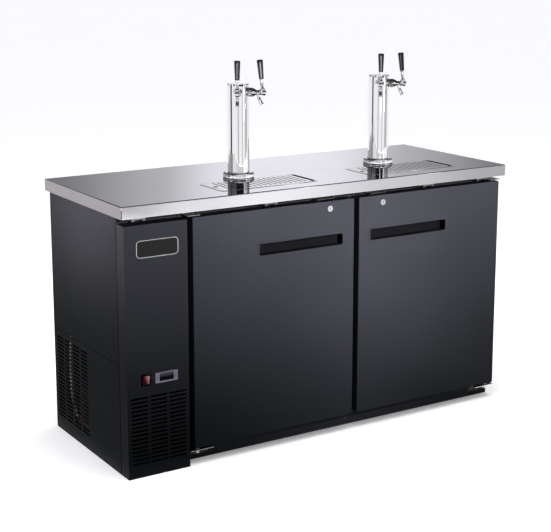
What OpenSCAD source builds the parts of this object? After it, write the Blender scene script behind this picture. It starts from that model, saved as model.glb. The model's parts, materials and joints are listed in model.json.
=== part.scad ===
// Two-door direct-draw beer cooler: an insulated back-bar cabinet with a side machine
// compartment, a stainless worktop, two drip trays and two twin-tap towers.
// Millimetres. +Z is up, -Y is the front. The origin is on the floor, under the middle of the worktop.

/* [Worktop] */
// Width of the worktop
worktop_w = 1537; // [1500:1:1560]
// Depth of the worktop
worktop_d = 604; // [590:1:620]
// Height of the worktop's upper face above the floor
worktop_h = 883.5; // [875:0.5:900]
// Height of the worktop's folded skirt
skirt_h = 40; // [34:1:46]
// Thickness of the worktop's steel skin
skin_t = 1.5; // [1:0.1:2]
// Thickness of the board under the steel skin
core_t = 24; // [22:1:26]

/* [Cabinet] */
// Worktop overhang past the cabinet's left side
left_gap = 11.5; // [9:0.5:14]
// Worktop overhang past the cabinet's right side
right_gap = 8; // [6:0.5:10]
// Worktop overhang past the door fronts
front_gap = 10.5; // [8:0.5:14]
// Worktop overhang past the rear panel
back_gap = 15; // [12:1:18]
// Distance from the door fronts back to the cabinet's front face
front_step = 51.9; // [50:0.1:54]
// Width of the machine compartment's front cover
machine_w = 219.5; // [215:0.5:222]
// Thickness of the insulated walls
wall_t = 47; // [45:1:50]
// Thickness of the painted sheet
sheet_t = 1.2; // [1:0.1:1.5]
// Depth of the face frame behind the doors
frame_t = 24; // [20:1:28]
// Height of the seam between the left side panel and the side vent panel
vent_top_z = 363.5; // [350:0.5:380]

/* [Doors] */
// Height of the doors' lower edge
door_z0 = 57.5; // [55:0.5:62]
// Height of the doors' upper edge
door_z1 = 823.5; // [820:0.5:825]
// Left edge of the left door, measured from the machine cover
door_left_gap = 19.7; // [18:0.1:22]
// Gap between the two doors
door_mid_gap = 21.6; // [18:0.1:24]
// Distance from the right door's edge to the cabinet's right side
door_right_gap = 13.7; // [12:0.1:16]
// Width of the left door
door_w = 621; // [618:0.5:624]
// Thickness of a door without its gasket
door_t = 44.5; // [43:0.5:45]
// Distance of the hinge pins from the doors' hinge edges
pin_inset = 18; // [17:0.5:20]
// Distance of the hinge pins behind the door fronts
pin_depth = 24; // [23:0.5:25]
// Radius of the hinge pins
pin_r = 4; // [3.5:0.5:5]
// Radial running clearance of pins and pivots
fit = 0.06; // [0.03:0.01:0.08]

/* [Door pulls and locks] */
// Width of a recessed pull
pull_w = 339; // [330:1:345]
// Height of a recessed pull
pull_h = 49; // [46:1:52]
// Height of the middle of the pulls
pull_z = 689; // [680:1:695]
// Distance of a pull's end from the door's free edge
pull_inset = 42; // [40:1:46]
// Depth of the pull's finger space
pull_depth = 28; // [24:1:30]
// Distance of a lock's axis from the door's free edge
lock_inset = 99; // [95:1:104]
// Distance of a lock's axis below the door's upper edge
lock_drop = 25.5; // [24:0.5:27]
// Radius of the lock barrels
lock_r = 9; // [8:0.5:9.5]
// Reach of the lock cams from the barrel's axis
cam_reach = 35; // [34:0.5:36]

/* [Beer towers] */
// Distance of each tower from the middle of the keg compartment
tower_spread = 296; // [290:1:302]
// Distance of the towers behind the worktop's front edge
tower_y_in = 288; // [286:1:292]
// Radius of the tower columns
column_r = 37.5; // [37:0.1:38.1]
// Height of the columns above the worktop, without their caps
column_h = 314; // [305:1:322]
// Wall thickness of the columns
column_wall = 1.5; // [1.2:0.1:2]
// Outer radius of the base flanges
flange_r = 53.5; // [52:0.5:54]
// Height of the base flanges
flange_h = 18; // [16:1:20]
// Angle of each tap from straight ahead
tap_angle = 32; // [28:1:36]
// Height of the taps' axis above the worktop
tap_z = 293; // [288:1:296]
// Distance of the lever pivots from the column's axis
pivot_d = 92; // [90:0.5:94]
// Backward tilt of the closed levers
lever_tilt = 5.5; // [4:0.5:7]
// Length of the black knobs
knob_h = 64; // [60:1:70]

/* [Drip trays] */
// Length of a drip tray's rim
tray_w = 381; // [375:1:384]
// Depth of a drip tray's rim
tray_d = 164; // [160:1:166]
// Distance of the trays behind the worktop's front edge
tray_y_in = 69; // [66:1:70]
// Depth of the pans below the worktop
pan_drop = 18; // [16:1:20]
// Radius of the holes in the drip grids
hole_r = 5; // [4:0.1:5.5]
// Spacing of the holes along a row of the drip grids
hole_pitch = 19.5; // [17:0.5:22]
// Spacing of the rows of holes in the drip grids
row_pitch = 15.5; // [14:0.5:18]

/* [Vents] */
// Width of a vent slot in the front cover
slot_w = 59; // [56:1:60]
// Height of a vent slot
slot_h = 6.5; // [5:0.5:7.5]
// Vertical spacing of the vent slots
slot_pitch = 13.5; // [13:0.1:13.6]
// Number of slots in each front column
front_rows = 17; // [12:1:17]
// Number of slots in each side column
side_rows = 22; // [16:1:22]

/* [Hidden] */
$fn = 48;
eps = 0.01;

// Cabinet planes
front_y = -worktop_d / 2 + front_gap;
face_y = front_y + front_step;
rear_y = worktop_d / 2 - back_gap;
left_x = -worktop_w / 2 + left_gap;
right_x = worktop_w / 2 - right_gap;
core_z = worktop_h - skin_t - core_t;
skirt_z = worktop_h - skirt_h;
edge_c = 2;
cover_x = left_x + machine_w;
cover_z = 820;
inner_y = face_y + frame_t;
sheet_y = rear_y - sheet_t;

// Keg compartment, measured on the liner's inner faces
keg_x0 = cover_x + wall_t;
keg_x1 = right_x - wall_t;
keg_y1 = rear_y - wall_t;
keg_z0 = 66;
keg_z1 = 803;
liner_t = 1;
liner_ribs = 12;
rib_pitch = 98;
rib_w = 24;
sill_z = 78;
lintel_z = 800;
jamb_w = 14;
panel_seam = 4;

// Doors
left_door_x0 = cover_x + door_left_gap;
left_door_x1 = left_door_x0 + door_w;
right_door_x0 = left_door_x1 + door_mid_gap;
right_door_x1 = right_x - door_right_gap;
bay_mid = (left_door_x1 + right_door_x0) / 2;
mullion_w = 57;
door_back = front_y + door_t;
door_sheet = 1;
gasket_w = 14;
gasket_in = 20;
pin_y = front_y + pin_depth;
pin_l = 23.5;
lock_z = door_z1 - lock_drop;
cup_in = 3.5;
cam_y = front_y + 25;
cam_t = 4;
cam_w = 12;

// Hinge and worktop brackets
bracket_z = 826;
bracket_t = 3;
low_bracket_z = 44;
angle_w = 48;
lug_w = 10;
angle_t = 2;
angle_d = 26;
angle_x = [left_x + 64, left_x + 546.5, left_x + 1200.5, left_x + 1446];
strike_t = 2;

// Towers and taps
keg_mid = (keg_x0 + keg_x1) / 2 - 3;
tower_x = [keg_mid - tower_spread, keg_mid + tower_spread];
tower_y = -worktop_d / 2 + tower_y_in;
trunk_r = 30;
tap_height = worktop_h + tap_z;
pivot_z = tap_height + 12;
hub_r = 7;
hub_half = 5.5;
lever_h = 35.5;
ferrule_z = 13;

// Drip trays
tray_y = -worktop_d / 2 + tray_y_in + tray_d / 2;
rim_w = 8;
rim_t = 1;
pan_w = tray_w - 2 * rim_w;
pan_d = tray_d - 2 * rim_w;
pan_z = worktop_h - pan_drop;
grid_gap = 13;
grid_t = 1.5;
grid_margin = 22;
finger_r = 8;

// Vent slots: place of the first column, column spacing, slot width and first height
front_col_x = 13.5;
front_col_pitch = 67;
front_slot_z = 44;
side_cols = 4;
side_col_y = 11;
side_col_pitch = 66;
side_slot_w = 53;
side_slot_z = 49.75;
rear_rows = 20;
rear_col_x = 30;
rear_col_pitch = 85;
rear_slot_w = 70;
rear_slot_z = 360;

// Nameplate
nameplate_x = left_x + 113.7;
nameplate_z = 742.6;
nameplate_w = 148;
nameplate_h = 58;
nameplate_t = 1.5;

// Cord gland
gland_x = left_x + 60;
gland_z = 110;
gland_hole_r = 12.5;

// Controls on the front cover
switch_x = left_x + 65.7;
switch_z = 320.7;
switch_y = front_y + 5.5;
rocker_r = 15.3;
control_x = left_x + 137.3;
control_z = 321.5;
bezel_w = 78.7;
bezel_h = 33.5;
bezel_t = 4;

// Machinery
coil_x = (left_x + cover_x) / 2;
coil_z = 165;
coil_y = inner_y + 12;
fan_y = coil_y + 62;
compressor_y = 130;
evap_y = 40;
evap_z = 655;
evap_x = keg_x0 + 92;
shaft_r = 4;
rail_x = 70;
rail_h = 20;
foot_y = 80;
plate_z = 44;
can_z = 50;
coil_w = 176;
coil_d = 40;
coil_h = 250;
shroud_r = 90;
condenser_fan_r = 82;
evap_fan_r = 60;
evap_half_w = 150;
case_t = 1.5;

// ---------------------------------------------------------------- helpers

// A box between two opposite corners
module box(lo, hi) {
  translate(lo) cube(hi - lo);
}

// A plate drawn in X and Z, between two Y planes
module plate_xz(y0, y1) {
  translate([0, y1, 0]) rotate([90, 0, 0]) linear_extrude(y1 - y0) children();
}

// A plate drawn in Y and Z, between two X planes
module plate_yz(x0, x1) {
  translate([x0, 0, 0]) rotate([90, 0, 90]) linear_extrude(x1 - x0) children();
}

// A flat rectangle between two corners
module rect(lo, hi) {
  translate(lo) square(hi - lo);
}

// A flat rectangle about its centre, with round corners
module round_rect(w, h, r) {
  square([w - 2 * r, h], center = true);
  square([w, h - 2 * r], center = true);
  for (sx = [-1, 1], sy = [-1, 1])
    translate([sx * (w / 2 - r), sy * (h / 2 - r)]) circle(r);
}

// A round bar along Y
module bar_y(x, z, y0, y1, r) {
  translate([x, y0, z]) rotate([-90, 0, 0]) cylinder(h = y1 - y0, r = r);
}

// A round bar along X
module bar_x(y, z, x0, x1, r) {
  translate([x0, y, z]) rotate([0, 90, 0]) cylinder(h = x1 - x0, r = r);
}

// Children placed in a tap's own frame: X points away from the column, Z is the height above the floor
module at_tap(tower, side) {
  translate([tower_x[tower], tower_y, 0]) rotate(-90 + side * tap_angle) children();
}

// ---------------------------------------------------------------- cabinet

// Galvanised floor of the cabinet with the upright partition beside the machine compartment
module chassis_pan() {
  color("lightgray") {
    box([left_x + sheet_t, inner_y, 0], [right_x - sheet_t, sheet_y, skin_t]);
    box([cover_x, inner_y, 0], [cover_x + sheet_t, sheet_y, core_z]);
    for (sx = [-1, 1])
      translate([coil_x + sx * rail_x, 0, 0])
        box([-12, compressor_y - 110, 0], [12, compressor_y + 110, rail_h]);
  }
}

module left_side_panel() {
  color([0.15, 0.15, 0.16])
    box([left_x, face_y + panel_seam, vent_top_z + 1], [left_x + sheet_t, sheet_y, core_z]);
}

// Lower left side panel with four columns of vent slots in its rear half
module side_vent_panel() {
  color([0.15, 0.15, 0.16])
    plate_yz(left_x, left_x + sheet_t)
      difference() {
        rect([face_y + panel_seam, 0], [sheet_y, vent_top_z - 1]);
        for (c = [0 : side_cols - 1], r = [0 : side_rows - 1])
          translate([side_col_y + c * side_col_pitch, side_slot_z + r * slot_pitch])
            square([side_slot_w, slot_h]);
      }
}

module right_side_panel() {
  color([0.15, 0.15, 0.16])
    box([right_x - sheet_t, face_y, 0], [right_x, sheet_y, core_z]);
}

// Rear panel with an air outlet behind the machine compartment and the hole for the cord gland
module rear_panel() {
  color([0.2, 0.2, 0.21])
    plate_xz(sheet_y, rear_y)
      difference() {
        rect([left_x, 0], [right_x, core_z]);
        for (c = [0 : 1], r = [0 : rear_rows - 1])
          translate([left_x + rear_col_x + c * rear_col_pitch, rear_slot_z + r * slot_pitch])
            square([rear_slot_w, slot_h]);
        translate([gland_x, gland_z]) circle(gland_hole_r);
      }
}

// Foam round the keg compartment, with a plug up into each tower
module cabinet_insulation() {
  color("khaki") {
    difference() {
      box([cover_x + sheet_t, inner_y, skin_t], [right_x - sheet_t, sheet_y, core_z]);
      box([keg_x0 - liner_t, inner_y - 1, keg_z0 - liner_t],
          [keg_x1 + liner_t, keg_y1 + liner_t, keg_z1 + liner_t]);
    }
    for (x = tower_x)
      translate([x, tower_y, core_z - eps]) cylinder(h = worktop_h + 200 - core_z, r = trunk_r);
  }
}

// Black face frame: jambs, sill, lintel, middle post and the edge round the machine compartment
module front_frame() {
  color([0.08, 0.08, 0.09])
    plate_xz(face_y, inner_y)
      difference() {
        rect([left_x + sheet_t, 0], [right_x - sheet_t, core_z]);
        rect([left_x + jamb_w, 45], [cover_x - 10, lintel_z]);
        rect([keg_x0, sill_z], [bay_mid - mullion_w / 2, lintel_z]);
        rect([bay_mid + mullion_w / 2, sill_z], [keg_x1, lintel_z]);
      }
}

// Folded liner: left, back, right and ceiling
module liner_walls() {
  color("silver")
    difference() {
      box([keg_x0 - liner_t, inner_y, keg_z0], [keg_x1 + liner_t, keg_y1 + liner_t, keg_z1 + liner_t]);
      box([keg_x0, inner_y - 1, keg_z0 - 1], [keg_x1, keg_y1, keg_z1]);
    }
}

// Keg floor with pressed ribs that keep the kegs out of spills
module liner_floor() {
  color("silver") {
    box([keg_x0 - liner_t, inner_y, keg_z0 - liner_t], [keg_x1 + liner_t, keg_y1 + liner_t, keg_z0]);
    for (i = [0 : liner_ribs - 1])
      translate([keg_x0 + 60 + i * rib_pitch, 0, 0])
        box([0, inner_y + 20, keg_z0 - eps], [rib_w, keg_y1 - 20, keg_z0 + 2]);
  }
}

// ---------------------------------------------------------------- machine compartment front

// Box-shaped cover with three columns of vent slots and the cutouts for the controls
module front_louvre_cover() {
  color([0.13, 0.13, 0.14]) {
    plate_xz(front_y, front_y + sheet_t)
      difference() {
        rect([left_x, 0], [cover_x, cover_z]);
        for (c = [0 : 2], r = [0 : front_rows - 1])
          translate([left_x + front_col_x + c * front_col_pitch, front_slot_z + r * slot_pitch])
            square([slot_w, slot_h]);
        translate([switch_x, switch_z]) square([29.4, 33.4], center = true);
        translate([control_x, control_z]) square([71.4, 29.4], center = true);
      }
    for (x = [left_x, cover_x - sheet_t])
      box([x, front_y + sheet_t - eps, 0], [x + sheet_t, face_y, cover_z]);
    for (z = [0, cover_z - sheet_t])
      box([left_x + eps, front_y + sheet_t - eps, z], [cover_x - eps, face_y, z + sheet_t]);
  }
}

// Blank rounded nameplate
module nameplate() {
  color("silver")
    translate([nameplate_x, 0, nameplate_z])
      plate_xz(front_y - nameplate_t, front_y)
        round_rect(nameplate_w, nameplate_h, 14);
}

module switch_bezel() {
  color([0.05, 0.05, 0.05])
    difference() {
      union() {
        box([switch_x - 16.7, front_y - 2, switch_z - 18.7], [switch_x + 16.7, front_y, switch_z + 18.7]);
        box([switch_x - 14.5, front_y - eps, switch_z - 16.5],
            [switch_x + 14.5, front_y + 23, switch_z + 16.5]);
      }
      bar_x(switch_y, switch_z, switch_x - 11.2, switch_x + 11.2, rocker_r + 0.1);
    }
}

// Rocker: a drum about its pivot with a shallow V across its face
module rocker_switch() {
  color("crimson")
    translate([switch_x, switch_y, switch_z]) rotate([10, 0, 0])
      difference() {
        bar_x(0, 0, -11, 11, rocker_r);
        plate_yz(-12, 12)
          polygon([[-20, -20], [-10.3, -20], [-10.3, -13.5], [-8, 0], [-10.3, 13.5], [-10.3, 20],
                   [-20, 20]]);
      }
}

module controller_case() {
  color([0.5, 0.5, 0.54])
    difference() {
      union() {
        plate_xz(front_y - bezel_t, front_y)
          translate([control_x, control_z]) round_rect(bezel_w, bezel_h, 2);
        box([control_x - 35.5, front_y - eps, control_z - 14.5],
            [control_x + 35.5, front_y + 50, control_z + 14.5]);
      }
      box([control_x - 25.2, front_y - bezel_t - 1, control_z - 11.2],
          [control_x + 25.2, front_y - 1.5, control_z + 14.2]);
      for (sx = [-1, 1])
        box([control_x + sx * 32 - 3.6, front_y - bezel_t - 1, control_z - 5.6],
            [control_x + sx * 32 + 3.6, front_y, control_z + 5.6]);
    }
}

module controller_window() {
  color([0.05, 0.05, 0.08])
    box([control_x - 25.1, front_y - 3, control_z - 11.1],
        [control_x + 25.1, front_y - 1.5, control_z + 14.1]);
}

// One push key beside the controller's window
module controller_key(side) {
  color([0.4, 0.4, 0.44])
    plate_xz(front_y - bezel_t - 0.8, front_y - 1.2)
      translate([control_x + side * 32, control_z]) round_rect(7, 11, 1.5);
}

// ---------------------------------------------------------------- machinery

// Hermetic compressor: domed steel can, terminal box and mounting plate
module compressor() {
  color([0.1, 0.1, 0.1])
    translate([coil_x, compressor_y, 0]) {
      translate([0, 0, can_z])
        rotate_extrude()
          polygon([[0, 0], [50, 0], [74, 14], [78, 22], [78, 92], [84, 95], [84, 99], [78, 102], [76, 132],
                   [58, 160], [28, 172], [0, 174]]);
      box([-90, -95, plate_z], [90, 95, can_z + 0.5]);
      box([-28, -104, 92], [28, -70, 142]);
      translate([-30, 0, 200]) cylinder(h = 60, r = 5);
    }
}

module compressor_feet() {
  color([0.1, 0.1, 0.1])
    for (sx = [-1, 1], sy = [-1, 1])
      translate([coil_x + sx * rail_x, compressor_y + sy * foot_y, rail_h])
        rotate_extrude()
          polygon([[0, 0], [14, 0], [14, 6], [9, 9], [9, 15], [14, 18], [14, 24], [0, 24]]);
}

// Finned coil standing across Y: end plates, fins and tubes along X
module fin_coil(w, d, h, fins, tubes) {
  for (i = [0 : fins - 1])
    translate([-w / 2 + i * (w - 1.2) / (fins - 1), -d / 2, -h / 2]) cube([1.2, d, h]);
  for (k = [0 : tubes - 1], s = [-1, 1])
    bar_x(s * d / 4, -h / 2 + (k + 0.5) * h / tubes, -w / 2 - 6, w / 2 + 6, 4.5);
}

module condenser_coil() {
  color("dimgray") {
    translate([coil_x, coil_y + coil_d / 2, coil_z]) fin_coil(coil_w, coil_d, coil_h, 28, 7);
    for (sx = [-1, 1])
      translate([coil_x + sx * rail_x, 0, 0])
        box([-8, coil_y + 4, skin_t], [8, coil_y + coil_d - 4, coil_z - coil_h / 2 + 1]);
  }
}

module fan_shroud() {
  color([0.12, 0.12, 0.12])
    difference() {
      union() {
        plate_xz(coil_y + 44, coil_y + 46) translate([coil_x, coil_z]) square([196, 262], center = true);
        bar_y(coil_x, coil_z, coil_y + 46 - eps, coil_y + 78, shroud_r + 2);
        box([coil_x - 98, coil_y + 44, skin_t], [coil_x + 98, coil_y + 46, coil_z]);
      }
      bar_y(coil_x, coil_z, coil_y + 43, coil_y + 79, shroud_r);
    }
}

// Both fan motors, each on a strap behind its fan
module fan_motors() {
  color([0.2, 0.2, 0.2]) {
    difference() {
      union() {
        bar_y(coil_x, coil_z, fan_y + 26, fan_y + 72, 30);
        box([coil_x - 97, fan_y + 40, coil_z - 12], [coil_x + 97, fan_y + 43, coil_z + 12]);
        for (x = [coil_x - 97, coil_x + 94])
          box([x, coil_y + 46, coil_z - 12], [x + 3, fan_y + 43, coil_z + 12]);
      }
      bar_y(coil_x, coil_z, fan_y + 20, fan_y + 50, shaft_r + fit);
    }
    difference() {
      union() {
        bar_x(evap_y, evap_z, evap_x - 66, evap_x - 36, 26);
        box([evap_x - 50, evap_y - 75, evap_z - 10], [evap_x - 47, evap_y + 75, evap_z + 10]);
        for (y = [evap_y - 75, evap_y + 72])
          box([evap_x - 50, y, evap_z - 10], [evap_x - 1.5, y + 3, evap_z + 10]);
      }
      bar_x(evap_y, evap_z, evap_x - 56, evap_x - 30, shaft_r + fit);
    }
  }
}

// Axial fan about Z: hub, shaft and tilted flat blades
module axial_fan(r, blades, shaft) {
  cylinder(h = 22, r = r * 0.3);
  translate([0, 0, -shaft]) cylinder(h = shaft + 2, r = shaft_r);
  for (i = [0 : blades - 1])
    rotate(i * 360 / blades)
      translate([r * 0.25, 0, 11]) rotate([28, 0, 0])
        translate([0, -r * 0.28, -0.8]) cube([r * 0.72, r * 0.56, 1.6]);
}

module condenser_fan() {
  color([0.75, 0.75, 0.75])
    translate([coil_x, fan_y + 22, coil_z]) rotate([90, 0, 0])
      axial_fan(condenser_fan_r, 5, 20);
}

module evaporator_fan() {
  color([0.85, 0.85, 0.85])
    translate([evap_x - 30, evap_y, evap_z]) rotate([0, 90, 0])
      axial_fan(evap_fan_r, 5, 18);
}

// Cover over the evaporator on the compartment's left wall, open at the bottom as the air inlet
module evaporator_case() {
  color("silver")
    difference() {
      box([keg_x0, evap_y - evap_half_w, evap_z - 125], [evap_x, evap_y + evap_half_w, evap_z + 120]);
      box([keg_x0 - 1, evap_y - evap_half_w + case_t, evap_z - 126],
          [evap_x - case_t, evap_y + evap_half_w - case_t, evap_z + 120 - case_t]);
      bar_x(evap_y, evap_z, evap_x - 10, evap_x + 1, evap_fan_r + 6);
    }
}

module evaporator_coil() {
  color("gainsboro")
    translate([keg_x0 + 12.5, evap_y, evap_z]) rotate(90) fin_coil(270, 24, 200, 26, 5);
}

module cord_gland() {
  color([0.06, 0.06, 0.06])
    translate([gland_x, rear_y, gland_z])
      rotate([90, 0, 0])
        rotate_extrude()
          polygon([[4.2, -12], [8, -12], [14, -8], [16, -3], [16, 0], [12.4, 0], [12.4, 3], [15, 4],
                   [15, 7], [4.2, 7]]);
}

// ---------------------------------------------------------------- worktop

// Chamfered block the size of the worktop
module worktop_block(c) {
  module outline(size) {
    h = size / 2;
    polygon([[-h, skirt_z], [h, skirt_z], [h, worktop_h - c], [h - c, worktop_h], [c - h, worktop_h],
             [-h, worktop_h - c]]);
  }
  intersection() {
    plate_yz(-worktop_w / 2, worktop_w / 2) outline(worktop_d);
    plate_xz(-worktop_d / 2, worktop_d / 2) outline(worktop_w);
  }
}

// Openings for the pans and for the foam plugs under the towers
module worktop_cutouts() {
  for (x = tower_x) {
    translate([x, tray_y, skirt_z - 1]) linear_extrude(skirt_h + 5) round_rect(pan_w + 1, pan_d + 1, 14.5);
    translate([x, tower_y, skirt_z - 1]) cylinder(h = skirt_h + 5, r = trunk_r);
  }
}

module worktop_skin() {
  color("gainsboro")
    difference() {
      worktop_block(edge_c);
      box([-worktop_w / 2 + skin_t, -worktop_d / 2 + skin_t, skirt_z - 1],
          [worktop_w / 2 - skin_t, worktop_d / 2 - skin_t, worktop_h - skin_t]);
      worktop_cutouts();
    }
}

module worktop_core() {
  color("burlywood")
    difference() {
      box([-worktop_w / 2 + skin_t + 0.3, -worktop_d / 2 + skin_t + 0.3, core_z],
          [worktop_w / 2 - skin_t - 0.3, worktop_d / 2 - skin_t - 0.3, worktop_h - skin_t]);
      worktop_cutouts();
    }
}

// Four folded brackets between the worktop and the face frame: a rear leg, a top and two lugs at the front
module worktop_brackets() {
  lug_y = face_y - angle_d;
  color("silver")
    for (x = angle_x)
      translate([x - angle_w / 2, 0, 0]) {
        box([0, face_y - angle_t, bracket_z + 1], [angle_w, face_y, core_z]);
        box([0, lug_y, core_z - angle_t], [angle_w, face_y - angle_t + eps, core_z]);
        for (lug_x = [0, angle_w - lug_w])
          box([lug_x, lug_y, bracket_z], [lug_x + lug_w, lug_y + angle_t, core_z - angle_t + eps]);
        box([lug_w - eps, lug_y + angle_t, bracket_z + 4],
            [angle_w - lug_w + eps, lug_y + 2 * angle_t, core_z - angle_t + eps]);
      }
}

// Two drip pans: a rim that lies on the worktop, walls and a floor
module drip_pans() {
  color("gainsboro")
    for (x = tower_x)
      translate([x, tray_y, 0])
        difference() {
          union() {
            translate([0, 0, worktop_h]) linear_extrude(rim_t) round_rect(tray_w, tray_d, 20);
            translate([0, 0, pan_z]) linear_extrude(pan_drop + rim_t) round_rect(pan_w, pan_d, 14);
          }
          translate([0, 0, pan_z + 1]) linear_extrude(pan_drop + 5) round_rect(pan_w - 2, pan_d - 2, 13);
        }
}

// Perforated grid on four legs, with rows of round holes and a finger hole at its left end
module drip_grid(x) {
  grid_w = pan_w - 4 - grid_gap;
  grid_d = pan_d - 4;
  rows = floor((grid_d - grid_margin) / row_pitch);
  cols = floor((grid_w - 2 * grid_margin) / hole_pitch);
  grid_z = worktop_h + rim_t - grid_t;
  color("gainsboro")
    translate([x - grid_gap / 2, tray_y, 0]) {
      translate([0, 0, grid_z]) linear_extrude(grid_t)
        difference() {
          round_rect(grid_w, grid_d, 12);
          for (j = [0 : rows], i = [0 : cols])
            translate([(i - cols / 2) * hole_pitch + finger_r, (j - rows / 2) * row_pitch])
              circle(hole_r, $fn = 20);
          translate([finger_r + 5 - grid_w / 2, 0]) circle(finger_r);
        }
      for (sx = [-1, 1], sy = [-1, 1])
        translate([sx * (grid_w / 2 - 14), sy * (grid_d / 2 - 7), pan_z + 1])
          cylinder(h = grid_z + eps - pan_z - 1, r = 3);
    }
}

// ---------------------------------------------------------------- hinges, locks and fasteners

// Upper and lower brackets of one door, the lower pin with a washer above its leaf and a hex head below.
// side is 1 for a door that extends to the right of its pins
module hinge_pair(x, side) {
  module leaf(reach_out, reach_in, z) {
    xs = [x - side * reach_out, x + side * reach_in];
    box([min(xs), front_y + 8, z], [max(xs), face_y, z + bracket_t]);
  }
  module upright(reach_out, reach_in, z0, z1) {
    xs = [x - side * reach_out, x + side * reach_in];
    box([min(xs), face_y - bracket_t, z0], [max(xs), face_y, z1]);
  }
  washer_z = low_bracket_z + bracket_t - 1;
  leaf(31, 14, bracket_z);
  upright(31, 14, bracket_z, bracket_z + 22);
  translate([x, pin_y, door_z1 - pin_l]) cylinder(h = bracket_z + 2 - door_z1 + pin_l, r = pin_r);
  leaf(29, 55, low_bracket_z);
  upright(29, 55, low_bracket_z - 26, low_bracket_z + bracket_t);
  translate([x, pin_y, low_bracket_z - 11]) cylinder(h = 12, r = 9, $fn = 6);
  translate([x, pin_y, washer_z]) cylinder(h = door_z0 + pin_l - 1 - washer_z, r = pin_r);
  translate([x, pin_y, washer_z]) cylinder(h = door_z0 - 0.2 - washer_z, r = 9);
}

module hinge_brackets() {
  color("silver") {
    hinge_pair(left_door_x0 + pin_inset, 1);
    hinge_pair(right_door_x1 - pin_inset, -1);
  }
}

// Slotted strike over each door for the lock's cam
module lock_strikes() {
  strike_z = bracket_z + 1;
  color("silver")
    for (x = [left_door_x1 - lock_inset, right_door_x0 + lock_inset])
      difference() {
        union() {
          box([x - 36, cam_y - 6, strike_z], [x + 30, face_y, strike_z + strike_t]);
          box([x - 36, face_y - strike_t, strike_z], [x + 30, face_y, strike_z + 15]);
        }
        box([x - 28, cam_y - 1.5, strike_z - 1], [x + 9, cam_y + cam_t + 1.5, strike_z + strike_t + 1]);
      }
}

// Low round screw head with its axis along +Z
module screw_head(r) {
  cylinder(h = r * 0.45, r1 = r, r2 = r * 0.8);
}

module screws() {
  color([0.25, 0.25, 0.25]) {
    for (y = [248, 24, -206])
      translate([left_x, y, vent_top_z - 11]) rotate([0, -90, 0]) screw_head(4);
    translate([bay_mid - 5, face_y, 23]) rotate([90, 0, 0]) screw_head(5);
    for (x = [left_door_x0 + pin_inset + 22, left_door_x0 + pin_inset + 44,
              right_door_x1 - pin_inset - 22, right_door_x1 - pin_inset - 44])
      translate([x, face_y - bracket_t, 32]) rotate([90, 0, 0]) screw_head(5);
    for (x = [left_x + 20, left_x + 200, left_x + 600, left_x + 1050, right_x - 20], z = [20, 840])
      translate([x, rear_y, z]) rotate([-90, 0, 0]) screw_head(4);
  }
}

// ---------------------------------------------------------------- doors

// Pan-shaped outer skin; free is 1 when the door's free edge is its right one
module door_skin(x0, x1, free) {
  lock_x = (free > 0 ? x1 : x0) - free * lock_inset;
  pull_x = (free > 0 ? x1 : x0) - free * (pull_inset + pull_w / 2);
  hinge_x = (free > 0 ? x0 : x1) + free * pin_inset;
  color([0.12, 0.12, 0.13])
    difference() {
      translate([(x0 + x1) / 2, 0, (door_z0 + door_z1) / 2])
        plate_xz(front_y, door_back) round_rect(x1 - x0, door_z1 - door_z0, 4);
      translate([(x0 + x1) / 2, 0, (door_z0 + door_z1) / 2])
        plate_xz(front_y + door_sheet, door_back + 1)
          round_rect(x1 - x0 - 2 * door_sheet, door_z1 - door_z0 - 2 * door_sheet, 3);
      box([pull_x - pull_w / 2 + cup_in, front_y - 1, pull_z - pull_h / 2 + cup_in],
          [pull_x + pull_w / 2 - cup_in, front_y + 3, pull_z + pull_h / 2 - cup_in]);
      bar_y(lock_x, lock_z, front_y - 1, front_y + 3, lock_r + fit);
      box([lock_x - cam_reach - 2, cam_y - 1, door_z1 - 3], [lock_x + 8, cam_y + cam_t + 1, door_z1 + 1]);
      translate([hinge_x, pin_y, door_z0 - 1]) cylinder(h = 3, r = pin_r + fit);
      translate([hinge_x, pin_y, door_z1 - 2]) cylinder(h = 3, r = pin_r + fit);
    }
}

// Foam core with the pockets for the pull, the lock and the hinge pins
module door_core(x0, x1, free) {
  lock_x = (free > 0 ? x1 : x0) - free * lock_inset;
  pull_x = (free > 0 ? x1 : x0) - free * (pull_inset + pull_w / 2);
  hinge_x = (free > 0 ? x0 : x1) + free * pin_inset;
  color("khaki")
    difference() {
      translate([(x0 + x1) / 2, 0, (door_z0 + door_z1) / 2])
        plate_xz(front_y + door_sheet, door_back - door_sheet)
          round_rect(x1 - x0 - 2 * door_sheet, door_z1 - door_z0 - 2 * door_sheet, 3);
      box([pull_x - pull_w / 2 + cup_in, front_y, pull_z - pull_h / 2 + cup_in],
          [pull_x + pull_w / 2 - cup_in, front_y + pull_depth + 3, pull_z + pull_h / 2 - cup_in]);
      bar_y(lock_x, lock_z, front_y, cam_y + cam_t + 2, lock_r + 1);
      box([lock_x - cam_reach - 2, cam_y - 1, lock_z - cam_w / 2 - 2],
          [lock_x + 8, cam_y + cam_t + 1, door_z1]);
      translate([hinge_x, pin_y, door_z0]) cylinder(h = 24, r = pin_r + fit);
      translate([hinge_x, pin_y, door_z1 - 25]) cylinder(h = 25, r = pin_r + fit);
    }
}

// Inner door panel with a raised field inside the gasket
module door_liner(x0, x1) {
  mid = [(x0 + x1) / 2, 0, (door_z0 + door_z1) / 2];
  w = x1 - x0 - 2 * door_sheet;
  h = door_z1 - door_z0 - 2 * door_sheet;
  field_in = gasket_in + gasket_w + 8;
  color("silver") {
    translate(mid) plate_xz(door_back - door_sheet, door_back) round_rect(w, h, 3);
    translate(mid)
      plate_xz(door_back - eps, door_back + 3) round_rect(w - 2 * field_in, h - 2 * field_in, 12);
  }
}

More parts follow.
